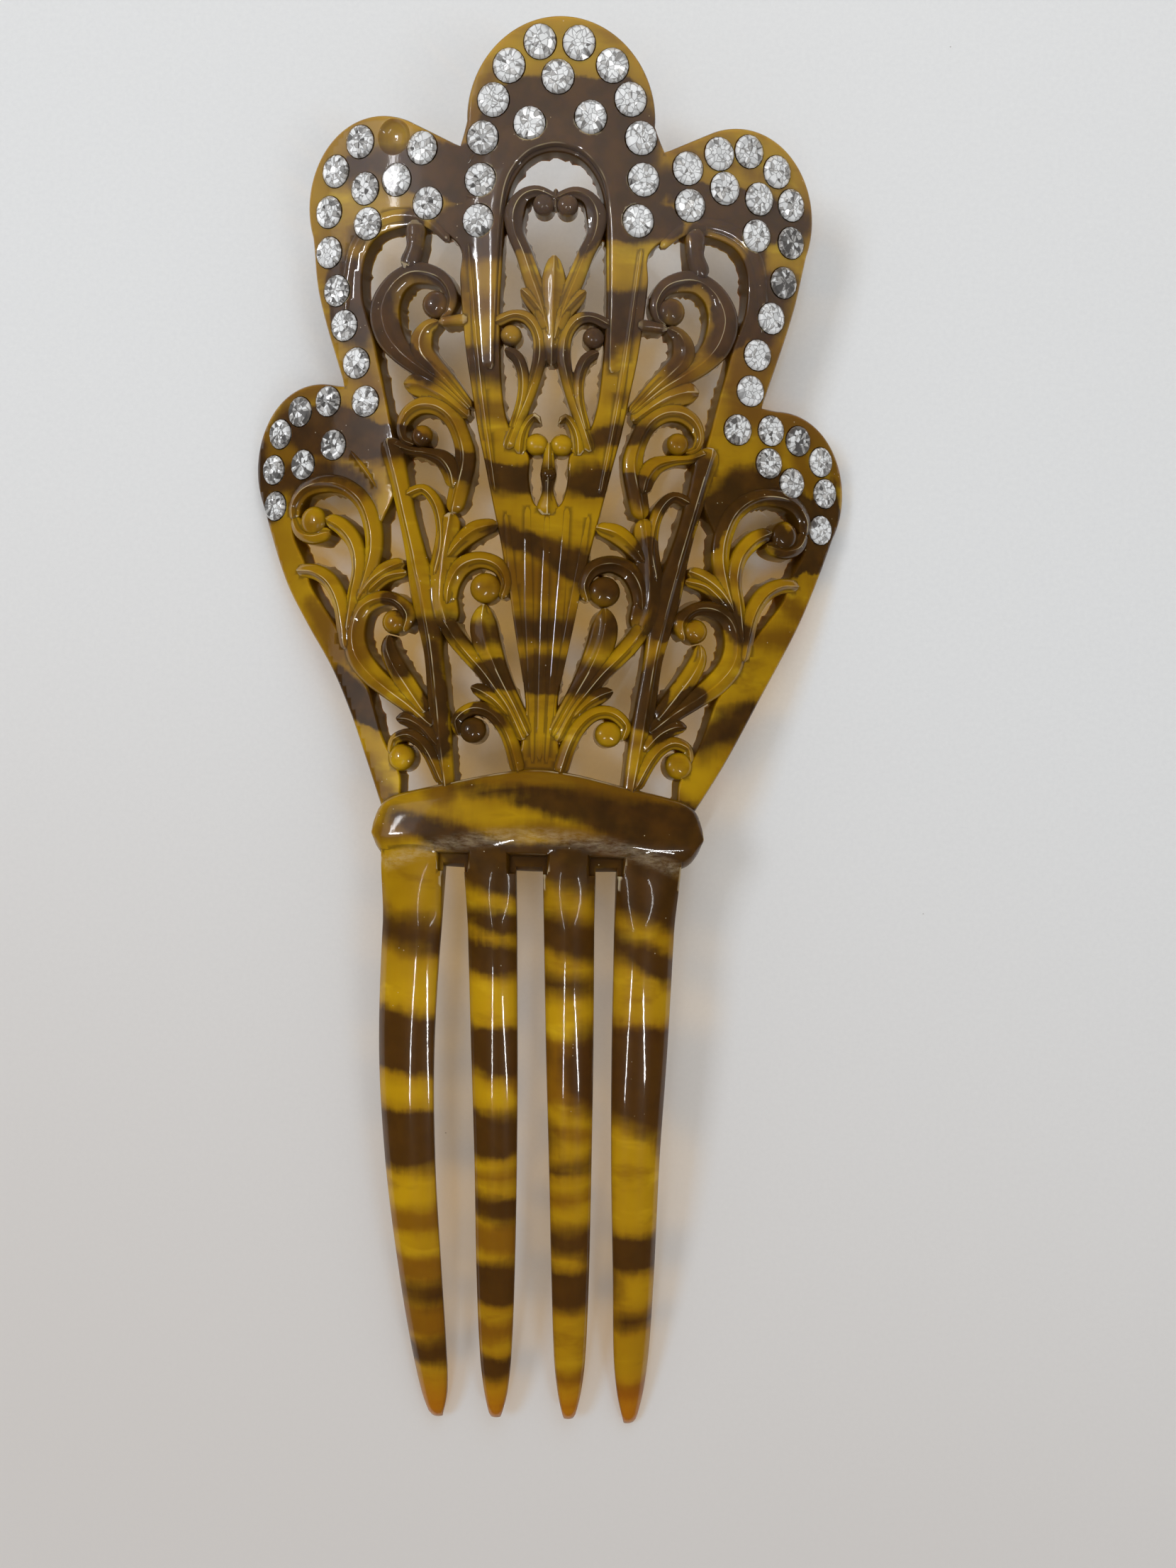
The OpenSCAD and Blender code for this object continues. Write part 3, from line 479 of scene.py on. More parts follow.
runs = [right_flank + arc(lobes[0]) + [cusps[0]], [cusps[0], waists[0]] + arc(lobes[1]) + [cusps[1]],
    [cusps[1]] + arc(lobes[2]) + [cusps[2]], [cusps[2]] + arc(lobes[3]) + [waists[1], cusps[3]],
    [cusps[3]] + arc(lobes[4]) + left_flank]
outline = []
for run_rows in runs:
    outline += smooth_line(run_rows, 0.7)[:-1]
outline += [Vector(p) for p in ([-21.4, 3.2], [-19.6, 0], [19.6, 0])]

plate = show(slab("comb_body", -46, 46, -0.4, 107))
edge_round = [(-0.3, -0.22), (0, -0.12), (0.25, 0), (1.7, 0), (2.15, -0.08), (2.38, -0.24),
    (2.5, -0.48), (2.7, -0.9)]
cut(plate, outline_solid("outline", outline, edge_round), how="INTERSECT")
window = [(-0.4, 0), (0, 0), (1.1, 0), (2.1, 0.02), (2.35, 0.1), (2.5, 0.28), (2.9, 0.5)]
arch = arch_half + mirrored(arch_half)[1:-1][::-1]
fields = [smooth_line(rows, 0.5, closed=True) for rows in (side_field, mirrored(side_field), arch)]
cut(plate, *(outline_solid(f"window_{i}", line, window, ragged=1.0) for i, line in enumerate(fields)))
print("plate:", len(plate.data.polygons), "faces")

# %% [markdown]
# ## Heading bar and tines
# The bar is pulled along its length with a rounded section that is highest near its lower third.
# A tine is pulled from the bar to its tip: its front is a low arch between round shoulders, and
# it gets thinner and narrower all the way.

# %% Heading bar
bar_section = [(0.04, 0), (0.0, 0.08), (0, 0.34), (0.02, 0.5), (0.06, 0.65), (0.12, 0.79),
    (0.19, 0.89), (0.27, 0.965),
    (0.34, 1), (0.42, 0.995), (0.54, 0.965), (0.68, 0.93), (0.8, 0.885), (0.9, 0.835), (0.955, 0.77),
    (0.985, 0.69), (1, 0.58), (1, 0.1), (0.985, 0)]


def heading_bar():
    rings = []
    for row in smooth_line([[r[0], 0, r[1], r[2]] for r in bar_rows], 0.6):
        s, _, low, high = row
        fall = 1 - 0.16 * max(0.0, (abs(s) - 19.4) / 2.6) ** 2
        rings.append([(s, low + q * (high - low), h * bar_height * fall) for q, h in bar_section])
    return pulled_solid("heading_bar", rings)


# %% Tines
root_end, root_height = 13.0, 4.0
# Half the angle of the shallow round on a tine's front
round_angle = math.radians(40)


def thickness(t):
    """Thickness of a tine at t: thinner towards its tip, and up to the bar's face at its root."""
    thin = tine_root + (tine_tip - tine_root) * max(0, -t) / tip_t
    k = max(0.0, min(1.0, (root_end + t) / (root_end - 3)))
    return thin + (root_height - thin) * k * k * (3 - 2 * k), k


def tine_section(half, thick, k):
    """Section of a tine: a shallow round of 80 degrees between short shoulders, flatter at the bar."""
    drop = min(0.5, 0.35 * half / thick) * (1 - 0.6 * k)
    deep = 1 - math.cos(round_angle)
    front = [(0.965 * math.sin(math.radians(f)) / math.sin(round_angle),
        1 - drop * (1 - math.cos(math.radians(f))) / deep) for f in range(-40, 41, 8)]
    side = [(1, 1 - drop - 0.09), (1, 0.3), (0.97, 0.12), (0.88, 0.02), (0.5, 0), (0, 0)]
    return front + side + [(-q, h) for q, h in side[-2::-1]]


def tine(name, rows):
    line = smooth_line(rows, 1.0)
    rings = []
    for i, row in enumerate(line):
        side = side_of(line, i)
        thick, k = thickness(row[1])
        round_off = max(0.0, 1 - (row[1] - line[-1][1]) / 1.6)
        thick *= 1 - 0.45 * round_off ** 2
        half = row[2] / 2
        rings.append([(row[0] + side.x * q * half, row[1] + side.y * q * half,
            h * thick + 0.25 * round_off ** 2 * (1 - h)) for q, h in tine_section(half, thick, k)])
    return pulled_solid(name, rings)


# %% Eyes
def eye(name, s, t, r):
    """A low round boss: a drum from the back of the sheet with a dome over its face."""
    side = [(1.02, 0), (1, 1.2), (1, sheet - 0.35), (0.965, sheet - 0.08), (0.88, sheet + 0.18),
        (0.75, sheet + 0.4),
        (0.58, sheet + 0.58), (0.39, sheet + 0.7), (0.19, sheet + 0.76), (0.03, sheet + 0.77)]
    return pulled_solid(name, [[(*on_circle(s, t, q * r, 15 * k), h) for k in range(24)] for q, h in side])


# %% One body
pieces = [heading_bar()] + [tine(f"tine_{i}", rows) for i, rows in enumerate(tines)]
for i, rows in enumerate(scrolls):
    back = round_back if i in (2, 3) else scroll_back
    pieces += [scroll(f"scroll_{i}", rows, back=back),
        scroll(f"scroll_{i}_right", mirrored(rows), back=back)]
pieces += [scroll(f"middle_{i}", rows) for i, rows in enumerate(middle_scrolls)]
for i, (rows, height, back) in enumerate(zip(mouldings, (0.3, 0.5), (soft_rib, scroll_back))):
    pieces += [scroll(f"moulding_{i}", rows, False, height, back=back),
        scroll(f"moulding_{i}_right", mirrored(rows), False, height, back=back)]
pieces += [scroll(f"crease_{i}", rows, False, 0.3) for i, rows in enumerate(creases)]
full_arch = arch_moulding + mirrored(arch_moulding)[::-1]
pieces += [scroll("arch_moulding", full_arch, pierced=False, height=0.85, back=arch_roll),
    scroll("middle_moulding", middle_moulding, pierced=False, height=0.1, back=soft_rib)]
for i, rows in enumerate(flutes):
    pieces += [scroll(f"flute_{i}", rows, False, 0.08, back=soft_rib),
        scroll(f"flute_{i}_right", mirrored(rows), False, 0.08, back=soft_rib)]
pieces += [eye(f"eye_{i}", *e) for i, e in enumerate(eyes + mirrored(eyes) + [middle_eye])]
while len(pieces) > 8:
    groups = [pieces[i:i + 6] for i in range(0, len(pieces), 6)]
    for first_piece, *rest in groups:
        show(first_piece)
        cut(first_piece, *rest, how="UNION")
        bpy.context.scene.collection.objects.unlink(first_piece)
    pieces = [group[0] for group in groups]
cut(plate, *pieces, how="UNION")
print("comb:", len(plate.data.polygons), "faces")

# %% [markdown]
# ## Sockets and recesses
# Each stone sits in a blind hole. A hole is drilled into the flat sheet, with a slight chamfer,
# and the 58th one stays empty. Above each gap between two tines the bar has a stepped recess.

# %% Sockets and recesses
def drill(name, s, t, side):
    """A round cutter over the place s, t: rows of radius and height."""
    return pulled_solid(name, [[(*on_circle(s, t, q, 11.25 * k), h) for k in range(32)] for q, h in side])


tight = stone_size / 2 + 0.02
socket = [(tight, sheet - socket_depth), (tight, sheet - 0.1), (tight + 0.05, sheet + 0.02),
    (tight + 0.06, sheet + 2.5)]
# Without its stone a socket shows the round bottom that the cutter left
bowl = [(0.5, sheet - 0.95), (1.1, sheet - 0.86), (1.6, sheet - 0.64), (1.95, sheet - 0.36),
    (2.15, sheet - 0.1),
    (2.32, sheet + 0.05), (2.4, sheet + 2.5)]


def recess(name, left, right):
    first, last = left[0] + left[2] / 2 - 0.6, right[0] - right[2] / 2 + 0.6
    side = [(0, 2.6), (0.06, 3.0), (0.2, 3.4), (0.5, 3.8), (1.1, bar_height + 0.4)]
    low, high = -5.4, -3.1
    return pulled_solid(name, [[(first - q, low, h), (last + q, low, h), (last + q, high + q, h),
        (first - q, high + q, h)] for q, h in side])


holes = [drill(f"socket_{i}", *p, socket) for i, p in enumerate(sum(stones.values(), []))]
holes.append(drill("empty_socket", *empty_socket, bowl))
holes += [recess(f"recess_{i}", tines[i][0], tines[i + 1][0]) for i in range(3)]
cut(plate, *holes)
print("drilled:", len(plate.data.polygons), "faces,",
    sum(len(p.vertices) - 2 for p in plate.data.polygons), "triangles")

# %% [markdown]
# ## Tortoiseshell pattern
# The colour of such plastic comes from dark and honey sheets pressed together, so the dark bands
# run right through and have soft edges. Each band was marked on the photograph as a line with a
# width. Every vertex keeps its distance to the nearest dark band and to the nearest brown one,
# in millimetres, and the material later turns the distance into colour with an uneven edge.

# %% Dark bands on the flat sheet: rows of s, t and width
dark_bands = [
    # Top lobe and arch
    [[-2, 90, 17], [4.5, 90, 17]], [[8, 97, 4], [11, 92, 5]], [[-10, 86, 7], [-8.6, 82, 4]],
    [[12, 86, 5], [10.4, 80.6, 4]], [[-5.2, 83, 4], [-4.6, 80, 3.4], [-3.6, 77.6, 2.4]],
    [[5.2, 83, 4], [4.8, 80, 3.4], [3.8, 77.8, 2.4]], [[-3, 84, 4], [3, 84, 4]],
    # Upper left lobe and its strip
    [[-29, 87.6, 2.6], [-24, 88.4, 4], [-16, 87.4, 6.4], [-10, 86, 8]],
    [[-30.4, 78.8, 1.6], [-28.4, 74, 6.4], [-27.2, 69, 6.4], [-25.6, 66, 3]],
    [[-26.6, 79.6, 2], [-25.2, 80.2, 1.4]],
    # Upper right lobe and its strip
    [[14.6, 86.4, 4.4], [20, 83.8, 6], [26, 83.4, 6.4], [32, 83.6, 5.4]],
    [[32, 76, 3], [29.4, 73.4, 6.4], [27.8, 70, 5]], [[27, 80.4, 2], [25.6, 75, 3], [26, 71, 3]],
    # Great upper scrolls with their struts
    [[-13, 72, 3], [-15.4, 75, 3.6], [-19.6, 75.8, 4], [-23, 73, 5], [-23.4, 69, 5], [-21.6, 66, 4.4],
        [-18.4, 63, 3.6], [-16, 61.2, 2.4]], [[-18.4, 81, 3], [-19, 76, 3]],
    [[-15.2, 70.8, 2.6], [-15.6, 70, 2.6]], [[15.2, 70.8, 2.6], [15.6, 70, 2.6]],
    [[13, 72, 3], [15.4, 75, 3.6], [19.6, 75.8, 4], [23, 73, 5], [23.4, 69, 5], [21.8, 66.4, 3.6]],
    [[18.4, 81, 3], [19, 76, 3]], [[15, 67.4, 3], [17.4, 65.6, 2.6], [15.6, 63, 2.2]],
    # Rays beside the arch
    [[-12.6, 79.4, 7.6], [-7.6, 79.4, 7.6]], [[-11, 62.8, 3.8], [-6.4, 62.2, 4.4]],
    [[8, 81.4, 5.6], [14, 81.6, 5]], [[7.4, 69, 7.4], [12.4, 70.4, 5.4]],
    [[6.4, 53.4, 2.4], [11, 54.2, 2.6], [14, 54.8, 1.8]],
    # Lyre under the arch
    [[-6.6, 64.6, 3], [-3, 62.8, 3.4], [0, 63.8, 3.2], [3, 62.8, 3.4], [6.6, 65.4, 3.4]],
    [[5.3, 66.4, 3.2], [5.4, 66.4, 3.2]], [[-1.9, 55.8, 1.6], [-1.4, 55.2, 1.4]],
    [[1.9, 55.8, 1.6], [1.4, 55.2, 1.4]],
    # First long band, from the lower left lobe to the right
    [[-38.4, 55.6, 4], [-34, 54.6, 7], [-29, 54.2, 7], [-24, 52.6, 5.4], [-19, 52.4, 4.4],
        [-14, 50.2, 3.8], [-9, 48.3, 4], [-4, 47.6, 4.2], [3, 47.5, 4], [8, 47.3, 4],
        [13, 46.6, 4.2], [17, 45.8, 4]],
    [[-40.4, 48, 3], [-37, 48.2, 4], [-32, 49, 3.4], [-27, 48, 2.6], [-24.6, 46.4, 1.6]],
    [[-42.6, 53, 2], [-42.6, 47, 2.6], [-41, 43.6, 3]],
    # Second long band, down to the right volute
    [[-6.6, 40.4, 2.4], [-2, 39.2, 2.8], [2, 37.2, 3.6], [6, 35.4, 5.6], [8.8, 34.6, 6]],
    [[8, 36.6, 3.6], [11, 35, 4], [12.6, 32, 4.6], [10, 29.2, 3.6], [7.6, 27.4, 3]],
    # Right ray, its broad stem and the great lower right scroll
    [[20.4, 51, 2.4], [18.8, 44.6, 3.4], [17.4, 38, 3.2], [16, 33, 4.4], [15, 28.6, 4.4]],
    [[13.4, 38.4, 4], [14, 33.6, 5]], [[21.6, 41, 4], [22.6, 45, 5], [26, 48, 5.4], [31, 48.8, 5.4],
        [35, 46.4, 4.6], [36, 42.6, 3.6], [32.6, 40.8, 3.6], [31.4, 42.4, 4.6]],
    [[40.6, 49.4, 3], [39.6, 45, 7], [37.6, 40.6, 6.6], [35, 38.6, 3]],
    # Flank of the right side and its lower scroll
    [[18, 31.2, 3], [20.6, 31.9, 3.4], [24.6, 30.8, 4], [26.8, 28.4, 3.4]],
    [[29, 18.2, 2.8], [25.6, 15.6, 5.2], [21.4, 12.6, 2.6]],
    [[16.6, 24, 3], [14.8, 21, 4.4], [13.8, 16.6, 4.6]],
    [[20.4, 19.4, 3], [17.8, 16.6, 3.6], [15.6, 14.4, 3]],
    # Flank of the left side and its lower scroll
    [[-28.6, 21, 2.6], [-25.4, 17.6, 5.2], [-22, 15.4, 3.6]],
    [[-20.8, 25.4, 2.4], [-19, 21.6, 2.6]], [[-21, 31.4, 2], [-18.6, 29.4, 2]],
    # Feet
    [[-16.4, 28, 2.6], [-12, 27.4, 3.6], [-8.2, 26.6, 3]],
    [[-15, 24.6, 3], [-14.2, 19, 3.2], [-13.6, 13, 3.4]],
    [[-19.6, 15.4, 3], [-16.6, 13.4, 4.6], [-13.6, 11.4, 3.6]],
    [[-10.8, 15, 2.4], [-9, 13.6, 4], [-8, 16.6, 2], [-5, 15, 2]],
    # Centre
    [[-5.4, 27.6, 4], [0, 27.6, 4.2], [5.4, 27.4, 4]],
    [[-9, 20.4, 3.4], [-2, 21.6, 5.6], [3, 21.4, 5.6], [9.4, 20.2, 3.6]],
    # Heading bar
    [[-11, 5.9, 0.9], [-2.4, 5.2, 2.6], [5, 4, 4.6], [12.9, 1.8, 6.4], [20.6, 0.4, 8]],
    [[-18.6, 2, 1.4], [-15, 0.8, 2.8], [-12.3, -0.8, 4], [-6.5, -2.4, 4], [0.9, -3, 3.8],
        [9.5, -2.6, 4.6], [18, -2, 6]],
    # First tine, from the bar down
    [[-20.6, -13.4, 4.6], [-12, -14.8, 4.2]], [[-20.6, -28.8, 8.8], [-12, -29.6, 8.4]],
    [[-20, -42.8, 8.2], [-12, -42.6, 8.4]], [[-19, -66, 3], [-11, -65.4, 3.6]],
    [[-17, -75.4, 3], [-11, -74.6, 3.8]],
    # Second tine
    [[-10, -4.6, 5], [-1, -6.4, 4.6]], [[-10, -11.2, 2.4], [-1, -12.4, 2.8]],
    [[-10, -16.6, 4.4], [-1, -17.2, 4]],
    [[-9, -29.2, 6.6], [-1, -29.6, 6.4]], [[-8, -41, 6.6], [0, -41, 6.4]], [[-7, -51, 3], [0, -52, 3.4]],
    [[-7, -63, 6.6], [0, -63.2, 6.6]], [[-7, -76.4, 3], [0, -76.2, 3]],
    # Third tine
    [[1, -4, 4.4], [9, -6.4, 4.4]], [[1, -13, 5], [9, -14.4, 5]], [[1, -20, 2.2], [9, -20.6, 2.2]],
    [[3, -46, 1.2], [9, -45.2, 1.6]], [[3, -56.2, 3.2], [10, -56.2, 3.2]],
    [[3, -63.6, 6.2], [10, -63.6, 6.4]],
    # Fourth tine
    [[10.6, -6, 8], [19.4, -9, 8]], [[10.6, -14.6, 3.2], [19.4, -18.4, 3.8]],
    [[10.6, -31.6, 13], [15, -32.6, 14],
        [19.4, -34.4, 15]], [[18.8, -40, 4], [18.8, -44, 2]], [[10.6, -58.2, 5.6], [19.4, -58.8, 5.8]],
    [[14, -69, 2.4], [19, -68.8, 2.8]]]

# %% Brown bands, weaker and wider
brown_bands = [
    [[34, 55, 2], [36, 51, 4], [40, 48, 4]], [[31, 53.6, 2.6], [29, 50.6, 3]],
    [[-37, 52.4, 4], [-32, 51.4, 4]],
    [[-11, 92.4, 3], [-8, 99, 2]], [[30, 88, 2], [22, 89.6, 2.2], [15, 90.4, 1.8]],
    [[-27, 63.6, 3], [-23.6, 59, 3]],
    [[27.6, 66, 7], [25.8, 61, 6]], [[-41, 52, 9], [-33, 51, 9]], [[-38, 59, 3], [-31, 60.2, 3]],
    [[-36, 46, 4], [-31, 47.6, 3], [-26, 45.4, 3]],
    [[25, 57.6, 3.4], [31, 58.6, 3.4], [38, 56, 4], [42.4, 51, 3]],
    [[-33, 31, 2], [-31, 28, 4], [-28.4, 24.4, 4]], [[-11, 70.6, 3], [-8, 70.4, 3]],
    [[-10, 56.4, 3], [-6, 56.4, 3]],
    [[8, 59, 1.8], [12, 59, 2]], [[-4.5, 34.4, 5], [0, 33.8, 5]], [[-15.4, 70.6, 4], [-14, 68.6, 3]],
    [[-17.8, 66, 3], [-14, 61.6, 3]], [[14, 67, 4], [17, 62, 4]], [[-25.6, 28, 4], [-25, 24, 4]],
    [[28, 28, 3], [35, 28, 3]], [[33, 33.6, 2.4], [36, 32, 3]], [[-14.6, 8, 5], [-12, 5, 4]],
    [[-24, 8.4, 4], [-21, 5, 3]],
    [[-3, 9.6, 4], [3, 9.6, 4]], [[-9, 7, 2], [-3, 7.4, 4], [3, 7.2, 6], [12, 5, 6], [18, 3, 6]],
    [[-20, -0.5, 3], [-12, 0.6, 1.6], [-2, -0.6, 2]],
    [[-6, -0.2, 2], [0, 0.4, 2.8], [5, -0.4, 4], [10, -0.8, 4]],
    [[12, 12.6, 1.6], [19, 13.4, 2]], [[16, 62, 2], [20, 60.4, 2]], [[22, 36.6, 2.4], [26, 36, 3]],
    [[-19, -55, 3.6], [-11, -54, 4.4]], [[-19, -62, 4], [-11, -61.6, 4.4]],
    [[-18, -70, 5], [-11, -69.4, 5]],
    [[-7, -47, 2], [0, -46.6, 2.2]], [[-7, -56, 4.6], [0, -56, 4.6]], [[-7, -70.4, 3.6], [0, -70.2, 3.8]],
    [[2, -32, 10], [9, -32.6, 10]], [[3, -40, 1.2], [9, -41, 1.4]], [[3, -50, 1.8], [10, -49.6, 2]],
    [[4, -78, 2.4], [10, -78, 2.6]], [[10.6, -26, 3], [19.4, -27, 3]], [[13, -81, 2.4], [18, -80.6, 2.6]]]
# Most eyes are a little browner than the plastic round them
brown_bands += [[[s - 0.7, t, 1.3], [s + 0.7, t, 1.3]] for s, t in
    [[-16.9, 53.3], [-7.8, 33], [-19.3, 28.2], [-32.5, 41.6], [16.9, 53.3], [20.1, 27], [7.6, 49.5]]]
print("bands:", len(dark_bands), "dark,", len(brown_bands), "brown")


def band_distance(places, bands):
    """Signed distance in mm from each place (s, t) to the nearest band, negative inside it."""
    nearest = np.full(len(places), 9.0)
    for band in bands:
        for (s0, t0, w0), (s1, t1, w1) in zip(band, band[1:]):
            way = np.array((s1 - s0, t1 - t0))
            u = np.clip(((places - (s0, t0)) @ way) / (way @ way), 0, 1)
            gap = np.linalg.norm(places - (np.array((s0, t0)) + u[:, None] * way), axis=1)
            nearest = np.minimum(nearest, gap - (w0 + (w1 - w0) * u) / 2)
    return nearest


# %% Pattern and bend
def keep_largest(mesh):
    """Takes away slivers that a cut has left beside the body."""
    bm = bmesh.new()
    bm.from_mesh(mesh)
    left, islands = set(bm.verts), []
    while left:
        front = [left.pop()]
        island = list(front)
        while front:
            v = front.pop()
            for edge in v.link_edges:
                other = edge.other_vert(v)
                if other in left:
                    left.discard(other)
                    front.append(other)
                    island.append(other)
        islands.append(island)
    body = max(islands, key=len)
    for island in islands:
        if island is not body:
            bmesh.ops.delete(bm, geom=island, context="VERTS")
    bmesh.ops.dissolve_degenerate(bm, dist=0.004, edges=bm.edges[:])
    bmesh.ops.triangulate(bm, faces=[f for f in bm.faces if len(f.verts) > 4])
    bm.to_mesh(mesh)
    bm.free()


def bend_over_the_block(mesh):
    """Gives each vertex its pattern while it is flat, then bends it."""
    flat = np.empty(len(mesh.vertices) * 3)
    mesh.vertices.foreach_get("co", flat)
    flat = flat.reshape(-1, 3)
    for name, bands in (("dark", dark_bands), ("brown", brown_bands)):
        values = band_distance(flat[:, :2], bands)
        mesh.attributes.new(name, "FLOAT", "POINT").data.foreach_set("value", values)
    # The bowl without a stone is as bright as the face round it
    bowl_reach = np.linalg.norm(flat[:, :2] - np.array(empty_socket), axis=1)
    height = np.where((bowl_reach < 2.5) & (flat[:, 2] > 1), sheet, flat[:, 2])
    mesh.attributes.new("height", "FLOAT", "POINT").data.foreach_set("value", height)
    mesh.attributes.new("along", "FLOAT", "POINT").data.foreach_set("value", flat[:, 1])
    normals = np.empty(len(mesh.vertices) * 3)
    mesh.vertices.foreach_get("normal", normals)
    mesh.attributes.new("steep", "FLOAT", "POINT").data.foreach_set("value", 1 - np.abs(normals[2::3]))
    for v in mesh.vertices:
        v.co = lift(*v.co)


keep_largest(plate.data)
bend_over_the_block(plate.data)
comb = plate
comb.name = "moulded_comb"
corners = [[f(v.co[i] for v in comb.data.vertices) for i in range(3)] for f in (min, max)]
print("comb box, mm:", [[round(1000 * c, 2) for c in corner] for corner in corners])


# %% Shading
def shade(mesh, crease=38):
    """Smooth shading, sharp where two faces meet at more than the crease angle."""
    bm = bmesh.new()
    bm.from_mesh(mesh)
    for f in bm.faces:
        f.smooth = True
    for e in bm.edges:
        e.smooth = e.calc_face_angle(0) < math.radians(crease)
    bm.to_mesh(mesh)
    bm.free()


def mark_folds(mesh):
    """Keeps at each raised vertex whether it lies on an arris, 1, or in a valley, -1."""
    bm = bmesh.new()
    bm.from_mesh(mesh)
    high, fold = bm.verts.layers.float["height"], bm.verts.layers.float.new("fold")
    for v in bm.verts:
        angles = [e.calc_face_angle_signed(0) for e in v.link_edges]
        if v[high] > sheet + 0.12 and max(angles) > math.radians(24):
            v[fold] = 1.0
        if v[high] > sheet - 0.05 and min(angles) < math.radians(-16):
            v[fold] = -1.0
    bm.to_mesh(mesh)
    bm.free()


mark_folds(comb.data)
shade(comb.data)
weigh = comb.modifiers.new("even_gloss", "WEIGHTED_NORMAL")
weigh.keep_sharp, weigh.weight, weigh.mode = True, 50, "FACE_AREA_WITH_ANGLE"
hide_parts("comb_body")
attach(comb, "root")


# %% [markdown]
# ## Plastic that looks like tortoiseshell
# The material is one Principled surface: a clear, scratched gloss over a body that lets some
# light in. Its colour is mixed from the stored distances to the bands. Noise of three sizes moves
# those distances, so that a band wanders, frays and now and then fades slowly, as the real one
# does where one colour has flowed into the other.

# %% Helpers for nodes
def new_material(name):
    """A material with an empty Principled surface, its nodes and its links."""
    m = bpy.data.materials.new(name)
    m.use_nodes = True
    return m, m.node_tree.nodes, m.node_tree.links


def srgb(r, g, b):
    """A colour read off the picture, 0 to 255, as the linear one that a shader takes."""
    shares = [c / 255 for c in (r, g, b)]
    return tuple(c / 12.92 if c <= 0.04045 else ((c + 0.055) / 1.055) ** 2.4 for c in shares) + (1.0,)


def plug(node, values):
    """Gives the inputs of a node their numbers, colours or links, and returns the node."""
    for key, value in values.items():
        if isinstance(value, bpy.types.NodeSocket):
            links.new(value, node.inputs[key])
        elif value is not None:
            node.inputs[key].default_value = value
    return node


def number(kind, a=None, b=None, c=None):
    node = nodes.new("ShaderNodeMath")
    node.operation = kind
    return plug(node, {0: a, 1: b, 2: c}).outputs[0]


def times(a, b):
    return number("MULTIPLY", a, b)


def most(a, b):
    return number("MAXIMUM", a, b)


def grain(scale, detail=3.0, rough=0.55, stretch=(1, 1, 1)):
    """Noise over the object, scale per metre, drawn out along an axis where stretch is small."""
    place = nodes.new("ShaderNodeTexCoord").outputs["Object"]
    place = plug(nodes.new("ShaderNodeMapping"), {"Vector": place, "Scale": stretch}).outputs[0]
    return plug(nodes.new("ShaderNodeTexNoise"),
        {"Vector": place, "Scale": scale, "Detail": detail, "Roughness": rough}).outputs["Fac"]


def smooth_step(value, low, high):
    node = nodes.new("ShaderNodeMapRange")
    node.interpolation_type = "SMOOTHSTEP"
    return plug(node, {"Value": value, "From Min": low, "From Max": high}).outputs["Result"]


def mixed(mask, a, b):
    node = nodes.new("ShaderNodeMix")
    node.data_type = "RGBA"
    return plug(node, {0: mask, 6: a, 7: b}).outputs[2]


def stored(name):
    node = nodes.new("ShaderNodeAttribute")
    node.attribute_name = name
    return node.outputs["Fac"]


def reach(low, high):
    """0 to 1 along the comb, from low to high, in mm from the middle of the bar."""
    return smooth_step(stored("along"), low, high)


def object_place():
    """Where a point of the surface is on its object, in metres."""
    place = nodes.new("ShaderNodeTexCoord").outputs["Object"]
    return plug(nodes.new("ShaderNodeSeparateXYZ"), {0: place}).outputs


# %% Specks, used on the plastic and on the table
specks = bpy.data.node_groups.new("fine_specks", "ShaderNodeTree")
for name, low in (("Scale", 900.0), ("Share", 0.1), ("Size", 0.2)):
    specks.interface.new_socket(name, in_out="INPUT", socket_type="NodeSocketFloat").default_value = low
specks.interface.new_socket("Mask", in_out="OUTPUT", socket_type="NodeSocketFloat")
nodes, links = specks.nodes, specks.links
given, result = nodes.new("NodeGroupInput"), nodes.new("NodeGroupOutput")
cells = plug(nodes.new("ShaderNodeTexVoronoi"),
    {"Vector": nodes.new("ShaderNodeTexCoord").outputs["Object"], "Scale": given.outputs["Scale"]})
draw = plug(nodes.new("ShaderNodeSeparateColor"), {0: cells.outputs["Color"]}).outputs[0]
chosen = number("LESS_THAN", draw, given.outputs["Share"])
near = number("LESS_THAN", cells.outputs["Distance"], given.outputs["Size"])
links.new(times(chosen, near), result.inputs["Mask"])


def speck_mask(scale, share, size):
    node = nodes.new("ShaderNodeGroup")
    node.node_tree = specks
    return plug(node, {"Scale": scale, "Share": share, "Size": size}).outputs["Mask"]


# %% Plastic
shell, nodes, links = new_material("tortoiseshell_plastic")
surface = nodes["Principled BSDF"]
wander = number("MULTIPLY_ADD", grain(130, 2), 2.0, -1.0)
flow = number("MULTIPLY_ADD", grain(420, 3, stretch=(0.4, 1, 1)), 1.8, -0.9)
fray = number("MULTIPLY_ADD", grain(1100, 3, stretch=(1, 0.16, 1)), 1.0, -0.5)
shift = number("ADD", number("ADD", wander, flow), fray)
